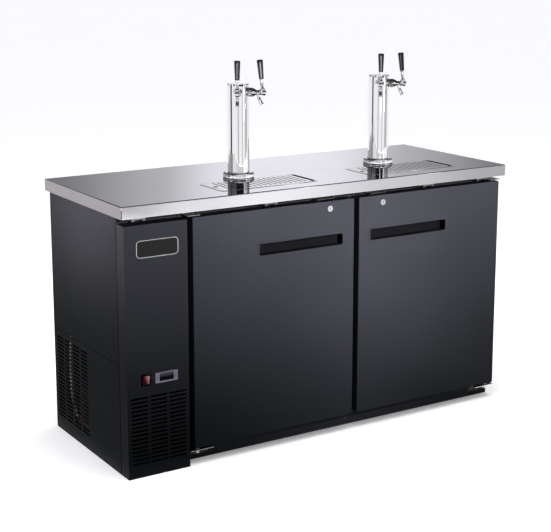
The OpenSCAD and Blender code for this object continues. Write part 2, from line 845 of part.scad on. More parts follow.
// Magnetic gasket: a hollow rectangle on the back of the door
module door_gasket(x0, x1) {
  w = x1 - x0 - 2 * gasket_in;
  h = door_z1 - door_z0 - 2 * gasket_in;
  color([0.2, 0.2, 0.2])
    translate([(x0 + x1) / 2, 0, (door_z0 + door_z1) / 2])
      plate_xz(door_back, face_y - 0.4)
        difference() {
          square([w, h], center = true);
          square([w - 2 * gasket_w, h - 2 * gasket_w], center = true);
        }
}

// Recessed pull: a flange on the door's face and a cup behind it
module door_pull(edge, free) {
  x = edge - free * (pull_inset + pull_w / 2);
  cup_w = pull_w - 2 * cup_in - 1;
  cup_h = pull_h - 2 * cup_in - 1;
  color([0.03, 0.03, 0.03])
    translate([x, 0, pull_z])
      difference() {
        union() {
          plate_xz(front_y - 2, front_y) round_rect(pull_w, pull_h, 3);
          plate_xz(front_y - eps, front_y + pull_depth + 2) round_rect(cup_w, cup_h, 8);
        }
        plate_xz(front_y - 3, front_y + pull_depth) round_rect(cup_w - 3, cup_h - 3, 6.5);
      }
}

// Lock barrel with a keyhole and a cam that swings up into the strike
module door_lock(edge, free) {
  color("silver")
    translate([edge - free * lock_inset, 0, lock_z])
      difference() {
        union() {
          bar_y(0, 0, front_y - 2, front_y, lock_r + 1.2);
          bar_y(0, 0, front_y - eps, cam_y + cam_t, lock_r);
          box([-cam_reach, cam_y, -cam_w / 2], [0, cam_y + cam_t, cam_w / 2]);
        }
        box([-1.2, front_y - 3, -4.5], [1.2, front_y + 6, 4.5]);
      }
}

// ---------------------------------------------------------------- towers and taps

module tower_columns() {
  color("gainsboro")
    for (t = [0, 1])
      difference() {
        translate([tower_x[t], tower_y, worktop_h]) cylinder(h = column_h, r = column_r, $fn = 96);
        translate([tower_x[t], tower_y, worktop_h - 1])
          cylinder(h = column_h + 2, r = column_r - column_wall, $fn = 96);
        for (s = [-1, 1])
          at_tap(t, s) bar_x(0, tap_height, 0, column_r + 5, 8.1);
      }
}

module tower_caps() {
  rim = column_r;
  plug = column_r - column_wall;
  color("gainsboro")
    for (x = tower_x)
      translate([x, tower_y, worktop_h + column_h])
        rotate_extrude($fn = 96)
          polygon([[0, -6], [plug, -6], [plug, 0], [rim, 0], [rim, 3.5], [rim - 1.5, 5.2], [rim - 6, 6.2],
                   [0, 7]]);
}

module tower_flanges() {
  inner = column_r + 0.05;
  color("gainsboro")
    for (x = tower_x)
      translate([x, tower_y, worktop_h])
        difference() {
          rotate_extrude($fn = 96)
            polygon([[inner, 0], [flange_r, 0], [flange_r, flange_h - 5], [flange_r - 1, flange_h - 2.5],
                     [flange_r - 4, flange_h - 0.6], [flange_r - 8, flange_h], [inner, flange_h]]);
          for (a = [-155, -35, 85])
            rotate(a) bar_x(0, flange_h / 2 - 1, inner + 6, flange_r + 1, 2.5);
        }
}

// Tap body in its own frame: shank, coupling nut, barrel, lever seat and spout
module tap_body() {
  shank_x0 = 14;
  shank_r = 8;
  nut_x1 = 60;
  nut_r = 15;
  barrel_x1 = 97;
  barrel_r = 8;
  nose_r = 9;
  seat_r = 9.5;
  spout_x = 75;
  spout_top = tap_height - 4;
  spout_lean = 24;
  spout_l = 40;
  spout_bore_l = 14;
  difference() {
    union() {
      bar_x(0, tap_height, column_r - 6, nut_x1, nut_r);
      translate([nut_x1 - eps, 0, tap_height]) rotate([0, 90, 0]) cylinder(h = 9, r1 = 12.5, r2 = barrel_r);
      bar_x(0, tap_height, nut_x1 + 8, barrel_x1, barrel_r);
      translate([barrel_x1, 0, tap_height]) sphere(r = nose_r);
      translate([pivot_d, 0, tap_height]) cylinder(h = pivot_z - tap_height - 1, r = seat_r);
      translate([spout_x, 0, spout_top]) rotate([0, 180 - spout_lean, 0])
        cylinder(h = spout_l, r1 = 7.2, r2 = 5.8);
    }
    translate([0, 0, tap_height - 30]) cylinder(h = 60, r = column_r + 0.05, $fn = 96);
    bar_y(pivot_d, pivot_z, -hub_half - fit, hub_half + fit, hub_r + fit);
    translate([spout_x, 0, spout_top]) rotate([0, 180 - spout_lean, 0])
      translate([0, 0, spout_l - spout_bore_l]) cylinder(h = spout_bore_l + 2, r = 4.4);
  }
  bar_x(0, tap_height, shank_x0, column_r + 8, shank_r);
}

module tap_bodies() {
  color("gainsboro")
    for (t = [0, 1], s = [-1, 1])
      at_tap(t, s) tap_body();
}

// Children placed on a closed lever: Z runs up the lever from its pivot
module on_lever(tower, side) {
  at_tap(tower, side) translate([pivot_d, 0, pivot_z]) rotate([0, -lever_tilt, 0]) children();
}

// Lever: round hub in the seat, stem and the ferrule under the knob
module tap_lever(tower, side) {
  color("gainsboro")
    on_lever(tower, side) {
      bar_y(0, 0, -hub_half, hub_half, hub_r);
      cylinder(h = lever_h - 8, r = 4.4);
      translate([0, 0, ferrule_z]) cylinder(h = lever_h - ferrule_z, r1 = 6.2, r2 = 7.4);
    }
}

module tap_knob(tower, side) {
  color([0.06, 0.06, 0.06])
    on_lever(tower, side)
      translate([0, 0, lever_h])
        rotate_extrude()
          polygon([[0, 0], [7.2, 0], [7.8, 1], [10.6, knob_h - 5], [10.2, knob_h - 2.5], [8.6, knob_h - 0.8],
                   [6, knob_h], [0, knob_h]]);
}

// ---------------------------------------------------------------- nodes

chassis_pan();
left_side_panel();
side_vent_panel();
right_side_panel();
rear_panel();
cabinet_insulation();
front_frame();
liner_walls();
liner_floor();
front_louvre_cover();
nameplate();
switch_bezel();
rocker_switch();
controller_case();
controller_window();
controller_key(-1);  // controller_key_left
controller_key(1);  // controller_key_right
compressor();
compressor_feet();
condenser_coil();
fan_shroud();
fan_motors();
condenser_fan();
evaporator_case();
evaporator_coil();
evaporator_fan();
worktop_skin();
worktop_core();
worktop_brackets();
drip_pans();
drip_grid(tower_x[0]);  // drip_grid_left
drip_grid(tower_x[1]);  // drip_grid_right
hinge_brackets();
lock_strikes();
screws();
cord_gland();
door_skin(left_door_x0, left_door_x1, 1);  // door_skin_left
door_core(left_door_x0, left_door_x1, 1);  // door_core_left
door_liner(left_door_x0, left_door_x1);  // door_liner_left
door_gasket(left_door_x0, left_door_x1);  // door_gasket_left
door_pull(left_door_x1, 1);  // door_pull_left
door_lock(left_door_x1, 1);  // door_lock_left
door_skin(right_door_x0, right_door_x1, -1);  // door_skin_right
door_core(right_door_x0, right_door_x1, -1);  // door_core_right
door_liner(right_door_x0, right_door_x1);  // door_liner_right
door_gasket(right_door_x0, right_door_x1);  // door_gasket_right
door_pull(right_door_x0, -1);  // door_pull_right
door_lock(right_door_x0, -1);  // door_lock_right
tower_columns();
tower_caps();
tower_flanges();
tap_bodies();
tap_lever(0, -1);  // tap_lever_1
tap_knob(0, -1);  // tap_knob_1
tap_lever(0, 1);  // tap_lever_2
tap_knob(0, 1);  // tap_knob_2
tap_lever(1, -1);  // tap_lever_3
tap_knob(1, -1);  // tap_knob_3
tap_lever(1, 1);  // tap_lever_4
tap_knob(1, 1);  // tap_knob_4
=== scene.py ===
import json
import math

import bmesh
import bpy
from mathutils import Matrix, Vector

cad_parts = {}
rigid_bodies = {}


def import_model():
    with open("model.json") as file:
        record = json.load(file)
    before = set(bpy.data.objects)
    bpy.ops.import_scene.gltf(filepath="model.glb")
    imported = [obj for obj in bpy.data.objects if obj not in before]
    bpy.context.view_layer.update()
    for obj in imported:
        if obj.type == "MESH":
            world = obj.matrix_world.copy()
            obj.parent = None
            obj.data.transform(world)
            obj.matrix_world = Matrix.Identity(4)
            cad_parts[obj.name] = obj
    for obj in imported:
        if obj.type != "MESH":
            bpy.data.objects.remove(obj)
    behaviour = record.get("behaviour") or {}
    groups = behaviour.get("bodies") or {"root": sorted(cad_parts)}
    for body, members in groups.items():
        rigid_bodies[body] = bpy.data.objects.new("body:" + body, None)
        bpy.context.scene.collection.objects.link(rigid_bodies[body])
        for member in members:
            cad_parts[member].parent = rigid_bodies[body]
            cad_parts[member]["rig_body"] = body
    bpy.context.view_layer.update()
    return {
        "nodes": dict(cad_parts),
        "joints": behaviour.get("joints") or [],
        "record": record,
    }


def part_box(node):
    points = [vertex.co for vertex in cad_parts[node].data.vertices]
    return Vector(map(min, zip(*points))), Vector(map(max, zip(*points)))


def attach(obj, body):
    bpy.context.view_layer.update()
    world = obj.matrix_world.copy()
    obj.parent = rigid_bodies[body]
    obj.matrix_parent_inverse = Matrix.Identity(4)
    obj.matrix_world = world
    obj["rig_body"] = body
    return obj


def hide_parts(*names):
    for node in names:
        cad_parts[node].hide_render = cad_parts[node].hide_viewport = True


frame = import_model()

nodes = frame["nodes"]
joints = {j["name"]: j for j in frame["joints"]}

MM = 0.001
WELD = 0.000005                      # CAD vertices nearer than this are one
FLAT = math.radians(0.4)             # CAD faces nearer than this to one plane are one
SOFT_EDGE = 0.0008                   # shading radius of the edges of painted and rubber parts
SOFT_EDGE_FINE = 0.0006              # the same on metal and plastic


# ---------------------------------------------------------------- node helpers
class Tree:
    """Short calls for building one material's node tree."""

    def __init__(self, name):
        self.mat = bpy.data.materials.new(name)
        self.mat.use_nodes = True
        self.t = self.mat.node_tree
        self.t.nodes.clear()
        self.out = self.t.nodes.new("ShaderNodeOutputMaterial")
        self.bsdf = self.t.nodes.new("ShaderNodeBsdfPrincipled")
        self.link(self.bsdf.outputs[0], self.out.inputs["Surface"])
        self.coord = self.t.nodes.new("ShaderNodeTexCoord").outputs["Object"]

    def link(self, a, b):
        self.t.links.new(a, b)

    def put(self, socket, value):
        if isinstance(value, bpy.types.NodeSocket):
            self.link(value, socket)
        elif isinstance(value, (tuple, list)) and len(value) == 3 and len(socket.default_value) == 4:
            socket.default_value = (*value, 1)
        else:
            socket.default_value = value

    def set(self, **values):
        for k, v in values.items():
            self.put(self.bsdf.inputs[k.replace("_", " ")], v)

    def scaled(self, scale):
        """Object coordinates stretched along the axes."""
        n = self.t.nodes.new("ShaderNodeMapping")
        self.link(self.coord, n.inputs["Vector"])
        n.inputs["Scale"].default_value = scale
        return n.outputs[0]

    def across(self):
        """X, Y and Z sockets of the place across the piece's own box, each 0 to 1."""
        n = self.t.nodes.new("ShaderNodeSeparateXYZ")
        self.link(self.t.nodes.new("ShaderNodeTexCoord").outputs["Generated"], n.inputs[0])
        return n.outputs

    def noise(self, scale, detail=3.0, rough=0.5, vector=None, distort=0.0):
        n = self.t.nodes.new("ShaderNodeTexNoise")
        self.link(vector or self.coord, n.inputs["Vector"])
        n.inputs["Scale"].default_value = scale
        n.inputs["Detail"].default_value = detail
        n.inputs["Roughness"].default_value = rough
        n.inputs["Distortion"].default_value = distort
        return n.outputs["Fac"]

    def cells(self, scale):
        n = self.t.nodes.new("ShaderNodeTexVoronoi")
        self.link(self.coord, n.inputs["Vector"])
        n.inputs["Scale"].default_value = scale
        return n.outputs["Distance"]

    def math(self, op, a, b):
        n = self.t.nodes.new("ShaderNodeMath")
        n.operation = op
        self.put(n.inputs[0], a)
        self.put(n.inputs[1], b)
        return n.outputs[0]

    def remap(self, v, lo, hi, a, b):
        n = self.t.nodes.new("ShaderNodeMapRange")
        for s, x in zip(("Value", "From Min", "From Max", "To Min", "To Max"), (v, lo, hi, a, b)):
            self.put(n.inputs[s], x)
        return n.outputs[0]

    def mix(self, fac, a, b):
        n = self.t.nodes.new("ShaderNodeMix")
        n.data_type = "RGBA"
        self.put(n.inputs["Factor"], fac)
        self.put(n.inputs[6], a)
        self.put(n.inputs[7], b)
        return n.outputs[2]

    def drift(self, v, lo, hi, a, b):
        """Colour a where v is below lo, turning to b where it is above hi."""
        return self.mix(self.remap(v, lo, hi, 0.0, 1.0), a, b)

    def bump(self, height, strength, distance, normal=None):
        n = self.t.nodes.new("ShaderNodeBump")
        n.inputs["Strength"].default_value = strength
        n.inputs["Distance"].default_value = distance
        self.put(n.inputs["Height"], height)
        if normal is not None:
            self.link(normal, n.inputs["Normal"])
        return n.outputs[0]

    def soft_edge(self, radius):
        n = self.t.nodes.new("ShaderNodeBevel")
        n.samples = 4
        n.inputs["Radius"].default_value = radius
        return n.outputs[0]

    def edge_mask(self, radius):
        """1 on sharp edges, 0 on open faces."""
        near = self.soft_edge(radius)
        geo = self.t.nodes.new("ShaderNodeNewGeometry").outputs["Normal"]
        n = self.t.nodes.new("ShaderNodeVectorMath")
        n.operation = "DOT_PRODUCT"
        self.link(near, n.inputs[0])
        self.link(geo, n.inputs[1])
        off = self.math("SUBTRACT", 1.0, n.outputs["Value"])
        return self.remap(off, 0.02, 0.3, 0.0, 1.0)


def tint(c, k):
    return tuple(min(1.0, max(0.0, v * k)) for v in c)


def painted(name, color, rough, level=0.5, peel=0.35):
    """Satin powder coat: orange peel, slow tone changes, faint rubbed edges."""
    t = Tree(name)
    slow = t.noise(2.3, 4)
    fine = t.noise(26.0, 3)
    tone = t.drift(slow, 0.35, 0.65, tint(color, 0.92), tint(color, 1.08))
    rubbed = t.math("MULTIPLY", t.edge_mask(SOFT_EDGE * 1.5), t.remap(fine, 0.4, 0.7, 0.0, 0.25))
    slow_rough = t.remap(slow, 0.3, 0.7, rough - 0.02, rough + 0.02)
    t.set(
        Base_Color=t.mix(rubbed, tone, (0.10, 0.10, 0.105)),
        Roughness=t.math("ADD", slow_rough, t.remap(fine, 0.3, 0.7, -0.015, 0.02)),
        Specular_IOR_Level=level,
        Normal=t.bump(t.noise(700.0, 2), peel, 0.00004, t.soft_edge(SOFT_EDGE)),
    )
    return t.mat


def steel(name, color, rough, stretch=(1, 1, 1), grain=0.25, smudge=0.05, aniso=0.0, dark=0.9):
    """Stainless or plated metal: drawn grain along one way, smudges, slightly cleaner edges."""
    t = Tree(name)
    lines = t.noise(60.0, 4, 0.65, t.scaled(stretch))
    cloud = t.noise(5.0, 4)
    spots = t.noise(24.0, 3)
    tone = t.drift(cloud, 0.35, 0.65, tint(color, dark), color)
    clean = t.edge_mask(SOFT_EDGE_FINE * 1.5)
    line_rough = t.remap(lines, 0.3, 0.7, rough * 0.8, rough * 1.25)
    t.set(
        Base_Color=t.mix(clean, tone, tint(color, 1.06)),
        Metallic=1.0,
        Roughness=t.math("ADD", line_rough, t.remap(t.math("MULTIPLY", cloud, spots), 0.2, 0.45, 0.0, smudge)),
        Anisotropic=aniso,
        Normal=t.bump(lines, grain, 0.00003, t.soft_edge(SOFT_EDGE_FINE)),
    )
    return t.mat


def plastic(name, color, rough, level=0.5, grain=0.4, size=900.0, coat=0.0):
    """Moulded plastic: fine spark grain, tone drift, scuffed edges."""
    t = Tree(name)
    cloud = t.noise(9.0, 4)
    fine = t.noise(80.0, 3)
    tone = t.drift(cloud, 0.35, 0.65, tint(color, 0.88), tint(color, 1.1))
    scuff = t.math("MULTIPLY", t.edge_mask(SOFT_EDGE_FINE * 1.6), t.remap(fine, 0.45, 0.7, 0.0, 0.35))
    t.set(
        Base_Color=t.mix(scuff, tone, tint([max(v, 0.05) for v in color], 2.2)),
        Roughness=t.remap(fine, 0.3, 0.7, rough - 0.03, rough + 0.05),
        Specular_IOR_Level=level,
        Coat_Weight=coat,
        Coat_Roughness=0.08,
        Normal=t.bump(t.noise(size, 2), grain, 0.00003, t.soft_edge(SOFT_EDGE_FINE)),
    )
    return t.mat


def rubber(name, color):
    """Dull rubber with a little dust on it."""
    t = Tree(name)
    cloud = t.noise(14.0, 4)
    dust = t.noise(60.0, 4, 0.6)
    tone = t.drift(cloud, 0.3, 0.7, tint(color, 0.8), tint(color, 1.25))
    t.set(
        Base_Color=t.mix(t.remap(dust, 0.55, 0.8, 0.0, 0.25), tone, (0.2, 0.19, 0.18)),
        Roughness=t.remap(dust, 0.3, 0.7, 0.62, 0.78),
        Specular_IOR_Level=0.35,
        Normal=t.bump(t.noise(500.0, 3), 0.5, 0.00005, t.soft_edge(SOFT_EDGE)),
    )
    return t.mat


def foam(name, color):
    """Cut rigid foam: fine cells and a patchy tone."""
    t = Tree(name)
    cells = t.cells(420.0)
    cloud = t.noise(7.0, 4)
    t.set(
        Base_Color=t.drift(cloud, 0.3, 0.7, tint(color, 0.8), tint(color, 1.08)),
        Roughness=t.remap(cells, 0.0, 0.6, 0.95, 0.8),
        Specular_IOR_Level=0.2,
        Normal=t.bump(cells, 0.7, 0.0003),
    )
    return t.mat


def ply(name):
    """Plywood: veneers in bands through the thickness and a streaky face."""
    t = Tree(name)
    streak = t.noise(12.0, 5, 0.6, t.scaled((1.5, 14, 14)), 0.6)
    band = t.math("PINGPONG", t.remap(t.noise(1.0, 0, 0.0, t.scaled((0, 0, 420))), 0.2, 0.8, 0.0, 4.0), 1.0)
    pale = t.mix(streak, (0.42, 0.29, 0.17), (0.62, 0.47, 0.30))
    t.set(
        Base_Color=t.mix(t.math("MULTIPLY", band, 0.45), pale, (0.27, 0.17, 0.09)),
        Roughness=t.remap(streak, 0.3, 0.7, 0.6, 0.78),
        Normal=t.bump(streak, 0.4, 0.0003),
    )
    return t.mat


def smoked(name):
    """Smoked display window, with painted light that pales it towards its top."""
    t = Tree(name)
    cloud = t.noise(40.0, 3)
    deep = t.mix(cloud, (0.003, 0.003, 0.006), (0.006, 0.005, 0.010))
    t.set(
        # painted light: the window turns from near black to grey towards its top
        Base_Color=t.drift(t.across()[2], 0.4, 1.0, deep, (0.115, 0.11, 0.12)),
        Roughness=t.remap(cloud, 0.3, 0.7, 0.20, 0.28),
        Specular_IOR_Level=0.2,
        Normal=t.bump(t.noise(300.0, 1), 0.05, 0.00002, t.soft_edge(0.0005)),
    )
    return t.mat


def red_lens(name):
    """Tinted rocker: deep red, with a painted highlight that pales it towards its upper right corner."""
    t = Tree(name)
    cloud = t.noise(60.0, 3)
    at = t.across()
    # painted highlight: the red turns pale pink towards the upper right corner
    highlight_place = t.math("ADD", at[0], t.math("MULTIPLY", at[2], 0.5))
    red = t.drift(cloud, 0.3, 0.7, (0.050, 0.003, 0.009), (0.085, 0.005, 0.013))
    t.set(
        Base_Color=t.drift(highlight_place, 0.62, 1.35, red, (0.50, 0.27, 0.28)),
        Roughness=t.remap(cloud, 0.3, 0.7, 0.28, 0.36),
        Specular_IOR_Level=0.2,
        Coat_Weight=0.1,
        Coat_Roughness=0.05,
        Normal=t.bump(t.noise(500.0, 2), 0.1, 0.00002, t.soft_edge(0.0005)),
    )
    return t.mat


def fins(name):
    """Aluminium fin pack: thin bright edges, with painted shade in the gaps between them."""
    t = Tree(name)
    wave = t.t.nodes.new("ShaderNodeTexWave")
    wave.wave_type = "BANDS"
    wave.bands_direction = "X"
    t.link(t.scaled((1, 1, 1)), wave.inputs["Vector"])
    wave.inputs["Scale"].default_value = 160.0
    cloud = t.noise(20.0, 3)
    t.set(
        # painted shade: dark bands for the gaps between the fins
        Base_Color=t.mix(wave.outputs["Fac"], (0.30, 0.31, 0.32), (0.80, 0.81, 0.82)),
        Metallic=1.0,
        Roughness=t.remap(cloud, 0.3, 0.7, 0.3, 0.45),
        Normal=t.bump(wave.outputs["Fac"], 0.8, 0.001),
    )
    return t.mat


BLACK = (0.0088, 0.0112, 0.0134)
# finishes by name: the record's material slots, and some for parts of a piece or for looks only
SKINS = {
    "galvanised_steel": steel("galvanised", (0.62, 0.61, 0.60), 0.30, (1, 1, 1), 0.3, 0.12, dark=0.7),
    "black_painted_steel": painted("black_powder_coat", BLACK, 0.42, level=0.12),
    # painted shade: a darker, duller copy of the black powder coat for the louvre cover, where the light falls
    # off to the left
    "cover_paint_with_painted_shade": painted("cover_coat_with_painted_shade", tint(BLACK, 0.78), 0.42, level=0.085),
    "insulating_foam": foam("rigid_foam", (0.70, 0.60, 0.34)),
    "stainless_liner": steel("liner_steel", (0.80, 0.80, 0.81), 0.36, (1, 1, 26), 0.12, 0.03, 0.4, dark=0.95),
    "brushed_plate": steel("brushed_plate", (0.72, 0.72, 0.73), 0.24, (1, 30, 30), 0.4, 0.03, 0.5),
    "black_plastic": plastic("black_moulding", (0.0040, 0.0055, 0.0065), 0.46, 0.2),
    "red_plastic": red_lens("red_lens"),
    "grey_plastic": plastic("grey_bezel", (0.21, 0.205, 0.26), 0.38, 0.5),
    "dark_window": smoked("smoked_window"),
    "key_plastic": plastic("key_cap", (0.17, 0.165, 0.20), 0.45, 0.4),
    "black_enamel": painted("black_enamel", (0.012, 0.012, 0.013), 0.25, peel=0.5),
    "rubber": rubber("black_rubber", (0.018, 0.018, 0.019)),
    "fan_plastic": plastic("fan_grey", (0.30, 0.31, 0.32), 0.45),
    "aluminium_fins": fins("fin_pack"),
    "hinge_zinc": steel("hinge_zinc", (0.86, 0.86, 0.86), 0.45, (1, 1, 1), 0.25, 0.08, dark=0.85),
    "copper": steel("copper_tube", (0.72, 0.36, 0.22), 0.22, (1, 1, 1), 0.1, 0.15, dark=0.7),
    "wire_white": plastic("wire_jacket", (0.80, 0.78, 0.76), 0.4),
    "polished_stainless": steel(
        "mirror_stainless", (0.785, 0.782, 0.815), 0.055, (1, 40, 40), 0.06, 0.015, dark=0.97),
    "board": ply("plywood"),
    # painted shade: near-black paint for faces that lie in shade, the door and cover tops under the worktop
    # and the pull recesses
    "painted_shade_black": painted("painted_shade_black", (0.0022, 0.0028, 0.0034), 0.6, level=0.03),
    # painted light: a paler copy of the black paint for the cover's left return
    "cover_return_painted_light": painted("cover_return_painted_light", (0.0125, 0.0138, 0.0160), 0.42, level=0.14),
    # painted shadow: dark steel for the inside of the drip pans and the grids' side walls
    "pan_shadow": steel("pan_inside_painted_shadow", (0.045, 0.045, 0.048), 0.34, (1, 30, 30), 0.3, 0.1, dark=0.7),
    "dark_screws": steel("black_zinc", (0.10, 0.10, 0.105), 0.35, (1, 1, 1), 0.2, 0.1),
    "lock_metal": steel("lock_chrome", (0.86, 0.86, 0.87), 0.10, (1, 1, 1), 0.1, 0.02),
    "tower_chrome": steel("tower_chrome", (0.90, 0.90, 0.91), 0.045, (30, 30, 1), 0.05, 0.012, dark=0.97),
    "knob_plastic": plastic("knob_black", (0.006, 0.006, 0.007), 0.10, 0.5, 0.06, 700.0, coat=0.2),
}
slot_of = {s["node"]: s["material_slot"] for s in frame["record"]["subparts"]}


def dress(obj, *skins):
    """Puts these finishes in the object's material slots."""
    obj.data.materials.clear()
    for skin in skins:
        obj.data.materials.append(SKINS[skin])


for name, obj in nodes.items():
    dress(obj, slot_of[name])


# ---------------------------------------------------------------- mesh helpers
def piece(name, bm, body, slot, stands_for=None, smooth=35.0, bevel=0.0, flat_shade=False):
    """Turns a bmesh into a shown piece that rides on a body and may stand for a CAD node."""
    mesh = bpy.data.meshes.new(name)
    bmesh.ops.recalc_face_normals(bm, faces=bm.faces)
    bm.to_mesh(mesh)
    bm.free()
    for f in mesh.polygons:
        f.use_smooth = True
    mesh.set_sharp_from_angle(angle=math.radians(smooth))
    o = bpy.data.objects.new(name, mesh)
    bpy.context.scene.collection.objects.link(o)
    if bevel:
        m = o.modifiers.new("round", "BEVEL")
        m.width, m.segments, m.limit_method, m.angle_limit = bevel, 2, "ANGLE", math.radians(40)
    if bevel or flat_shade:
        m = o.modifiers.new("flat_faces", "WEIGHTED_NORMAL")
        m.keep_sharp, m.weight = True, 100
    mesh.materials.append(SKINS[slot])
    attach(o, body)
    if stands_for:
        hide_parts(stands_for)
    return o


def frame_of(origin, z, x=None):
    """A matrix at origin whose Z is z and whose X leans to x."""
    z = Vector(z).normalized()
    x = Vector(x if x is not None else ((1, 0, 0) if abs(z.x) < 0.9 else (0, 1, 0)))
    x = (x - z * x.dot(z)).normalized()
    y = z.cross(x)
    m = Matrix((x, y, z)).transposed().to_4x4()
    m.translation = Vector(origin)
    return m


def wall(bm, a, b):
    """A band of faces between two closed loops of as many vertices."""
    for i in range(len(a)):
        k = (i + 1) % len(a)
        bm.faces.new((a[i], a[k], b[k], b[i]))


def lathe(bm, m, profile, n=48, wave=None):
    """Revolves (radius, height) points in mm about the matrix's Z.

    wave(angle, height, radius) gives the radius to use instead."""
    rings = []
    for r, h in profile:
        ring = []
        for i in range(n):
            a = 2 * math.pi * i / n
            rr = wave(a, h, r) if wave else r
            ring.append(bm.verts.new(m @ Vector((rr * math.cos(a) * MM, rr * math.sin(a) * MM, h * MM))))
        rings.append(ring)
    for lo, hi in zip(rings, rings[1:]):
        wall(bm, lo, hi)
    for ring, (r, h) in ((rings[0], profile[0]), (rings[-1], profile[-1])):
        if r > 0.01:
            bm.faces.new(ring)
        else:
            bmesh.ops.remove_doubles(bm, verts=ring, dist=0.00005)


def tube(bm, path, radius, n=14):
    """A round bar along points in metres; radius is one number, or a list with one for each point."""
    pts = [Vector(p) for p in path]
    up = Vector((0, 0, 1)) if abs((pts[1] - pts[0]).normalized().z) < 0.9 else Vector((1, 0, 0))
    rings = []
    for i, p in enumerate(pts):
        d = (pts[min(i + 1, len(pts) - 1)] - pts[max(i - 1, 0)]).normalized()
        x = (up - d * up.dot(d)).normalized()
        y = d.cross(x)
        up = x
        r = radius[i] if isinstance(radius, list) else radius
        turn = [2 * math.pi * k / n for k in range(n)]
        rings.append([bm.verts.new(p + (x * math.cos(a) + y * math.sin(a)) * r) for a in turn])
    for lo, hi in zip(rings, rings[1:]):
        wall(bm, lo, hi)
    bm.faces.new(rings[0])
    bm.faces.new(rings[-1])


def smooth_path(points, steps=6):
    """A Catmull-Rom curve through points."""
    p = [Vector(q) for q in points]
    p = [p[0] * 2 - p[1]] + p + [p[-1] * 2 - p[-2]]
    out = []
    for i in range(1, len(p) - 2):
        for k in range(steps):
            t = k / steps
            a, b, c, d = p[i - 1], p[i], p[i + 1], p[i + 2]
            square, cube = 2 * a - 5 * b + 4 * c - d, 3 * b - a - 3 * c + d
            out.append(0.5 * (2 * b + (c - a) * t + square * t * t + cube * t**3))
    return out + [p[-2]]


def rounded(w, h, r, n=6):
    """Outline of a rounded rectangle about its centre, counter-clockwise."""
    out = []
    for quarter, (sx, sy) in enumerate(((1, 1), (-1, 1), (-1, -1), (1, -1))):
        cx, cy = sx * (w / 2 - r), sy * (h / 2 - r)
        for i in range(n + 1):
            a = math.radians(90 * quarter + 90 * i / n)
            out.append((cx + r * math.cos(a), cy + r * math.sin(a)))
    return out


def plate(bm, m, outline, z0, z1, hole=None):
    """A flat plate of an outline (in metres) between two heights, with a hole of as many points if given."""

    def loop(points, z):
        return [bm.verts.new(m @ Vector((x, y, z))) for x, y in points]

    lo, hi = loop(outline, z0), loop(outline, z1)
    wall(bm, lo, hi)
    if hole:
        hlo, hhi = loop(hole, z0), loop(hole, z1)
        wall(bm, hhi, hlo)
        wall(bm, hi, hhi)
        wall(bm, hlo, lo)
    else:
        bm.faces.new(lo)
        bm.faces.new(hi)


def cad_mesh(node):
    """The CAD node's own shape in a new bmesh, with its flat faces whole."""
    bm = bmesh.new()
    bm.from_mesh(nodes[node].data)
    bmesh.ops.remove_doubles(bm, verts=bm.verts, dist=WELD)
    bmesh.ops.dissolve_limit(bm, angle_limit=FLAT, verts=bm.verts, edges=bm.edges)
    return bm


def with_painted_shade(node, slot, shade_skin, test, width=0.0003):
    """The CAD node with rounded edges, shown in its place; faces passing the test take a second finish, which
    is painted shade.
    """
    o = piece(node + "_rounded", cad_mesh(node), nodes[node]["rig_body"], slot_of[node], node, bevel=width)
    dress(o, slot, shade_skin)
    for f in o.data.polygons:
        if test(f.center, f.normal):
            f.material_index = 1
    return o


# ---------------------------------------------------------------- worktop, panels and doors
TOUCH = 0.0001                       # a vertex this near a plane lies on it
CORNER_ROUND, FOLD_ROUND = 0.0026, 0.0011


def folded_worktop():
    """The worktop's skin with its folded outer edges rolled over."""
    bm = cad_mesh("worktop_skin")
    lo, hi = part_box("worktop_skin")

    def from_sides(v):
        """How far the vertex is from the nearest x side and the nearest y side."""
        return min(abs(v.co.x - lo.x), abs(v.co.x - hi.x)), min(abs(v.co.y - lo.y), abs(v.co.y - hi.y))

    def outer(v):
        return min(from_sides(v)) < TOUCH

    def at_corner(v):
        return max(from_sides(v)) < 0.0025

    def near_top(v):
        return v.co.z > hi.z - 0.0024 and (outer(v) or v.co.z > hi.z - TOUCH)

    upright = [
        e for e in bm.edges
        if all(outer(v) and at_corner(v) for v in e.verts) and abs(e.verts[0].co.z - e.verts[1].co.z) > 0.01
    ]
    bmesh.ops.bevel(
        bm, geom=upright, offset=CORNER_ROUND, segments=4, profile=0.5, affect="EDGES", clamp_overlap=False)
    rim = [
        e for e in bm.edges
        if e.calc_length() > 0.2 and all(near_top(v) for v in e.verts)
        and len(e.link_faces) == 2 and 0.3 < e.calc_face_angle(0) < 1.2
    ]
    bmesh.ops.bevel(
        bm, geom=rim, offset=FOLD_ROUND, segments=3, profile=0.5, affect="EDGES", clamp_overlap=False)
    piece("worktop_folded", bm, "cabinet", "polished_stainless", "worktop_skin", smooth=80, flat_shade=True)


folded_worktop()
# painted shade on the doors' top faces under the worktop
for n in ("door_skin_left", "door_skin_right"):
    with_painted_shade(n, slot_of[n], "painted_shade_black", lambda c, n: n.z > 0.9, 0.0012)
# painted shade inside the pull recesses; the flange keeps the black paint
for n in ("door_pull_left", "door_pull_right"):
    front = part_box(n)[0].y
    with_painted_shade(n, "black_painted_steel", "painted_shade_black", lambda c, n: c.y > front + 0.0012, 0.0004)
# painted shade on the cover's top face under the worktop
cover = with_painted_shade(
    "front_louvre_cover", "cover_paint_with_painted_shade", "painted_shade_black", lambda c, n: n.z > 0.9 and c.z > 0.8, 0.0007)
# painted light: the cover's left-facing return takes a paler copy of the paint
cover.data.materials.append(SKINS["cover_return_painted_light"])
cover_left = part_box("front_louvre_cover")[0].x
for f in cover.data.polygons:
    if f.normal.x < -0.9 and f.center.x < cover_left + 0.0005:
        f.material_index = 2

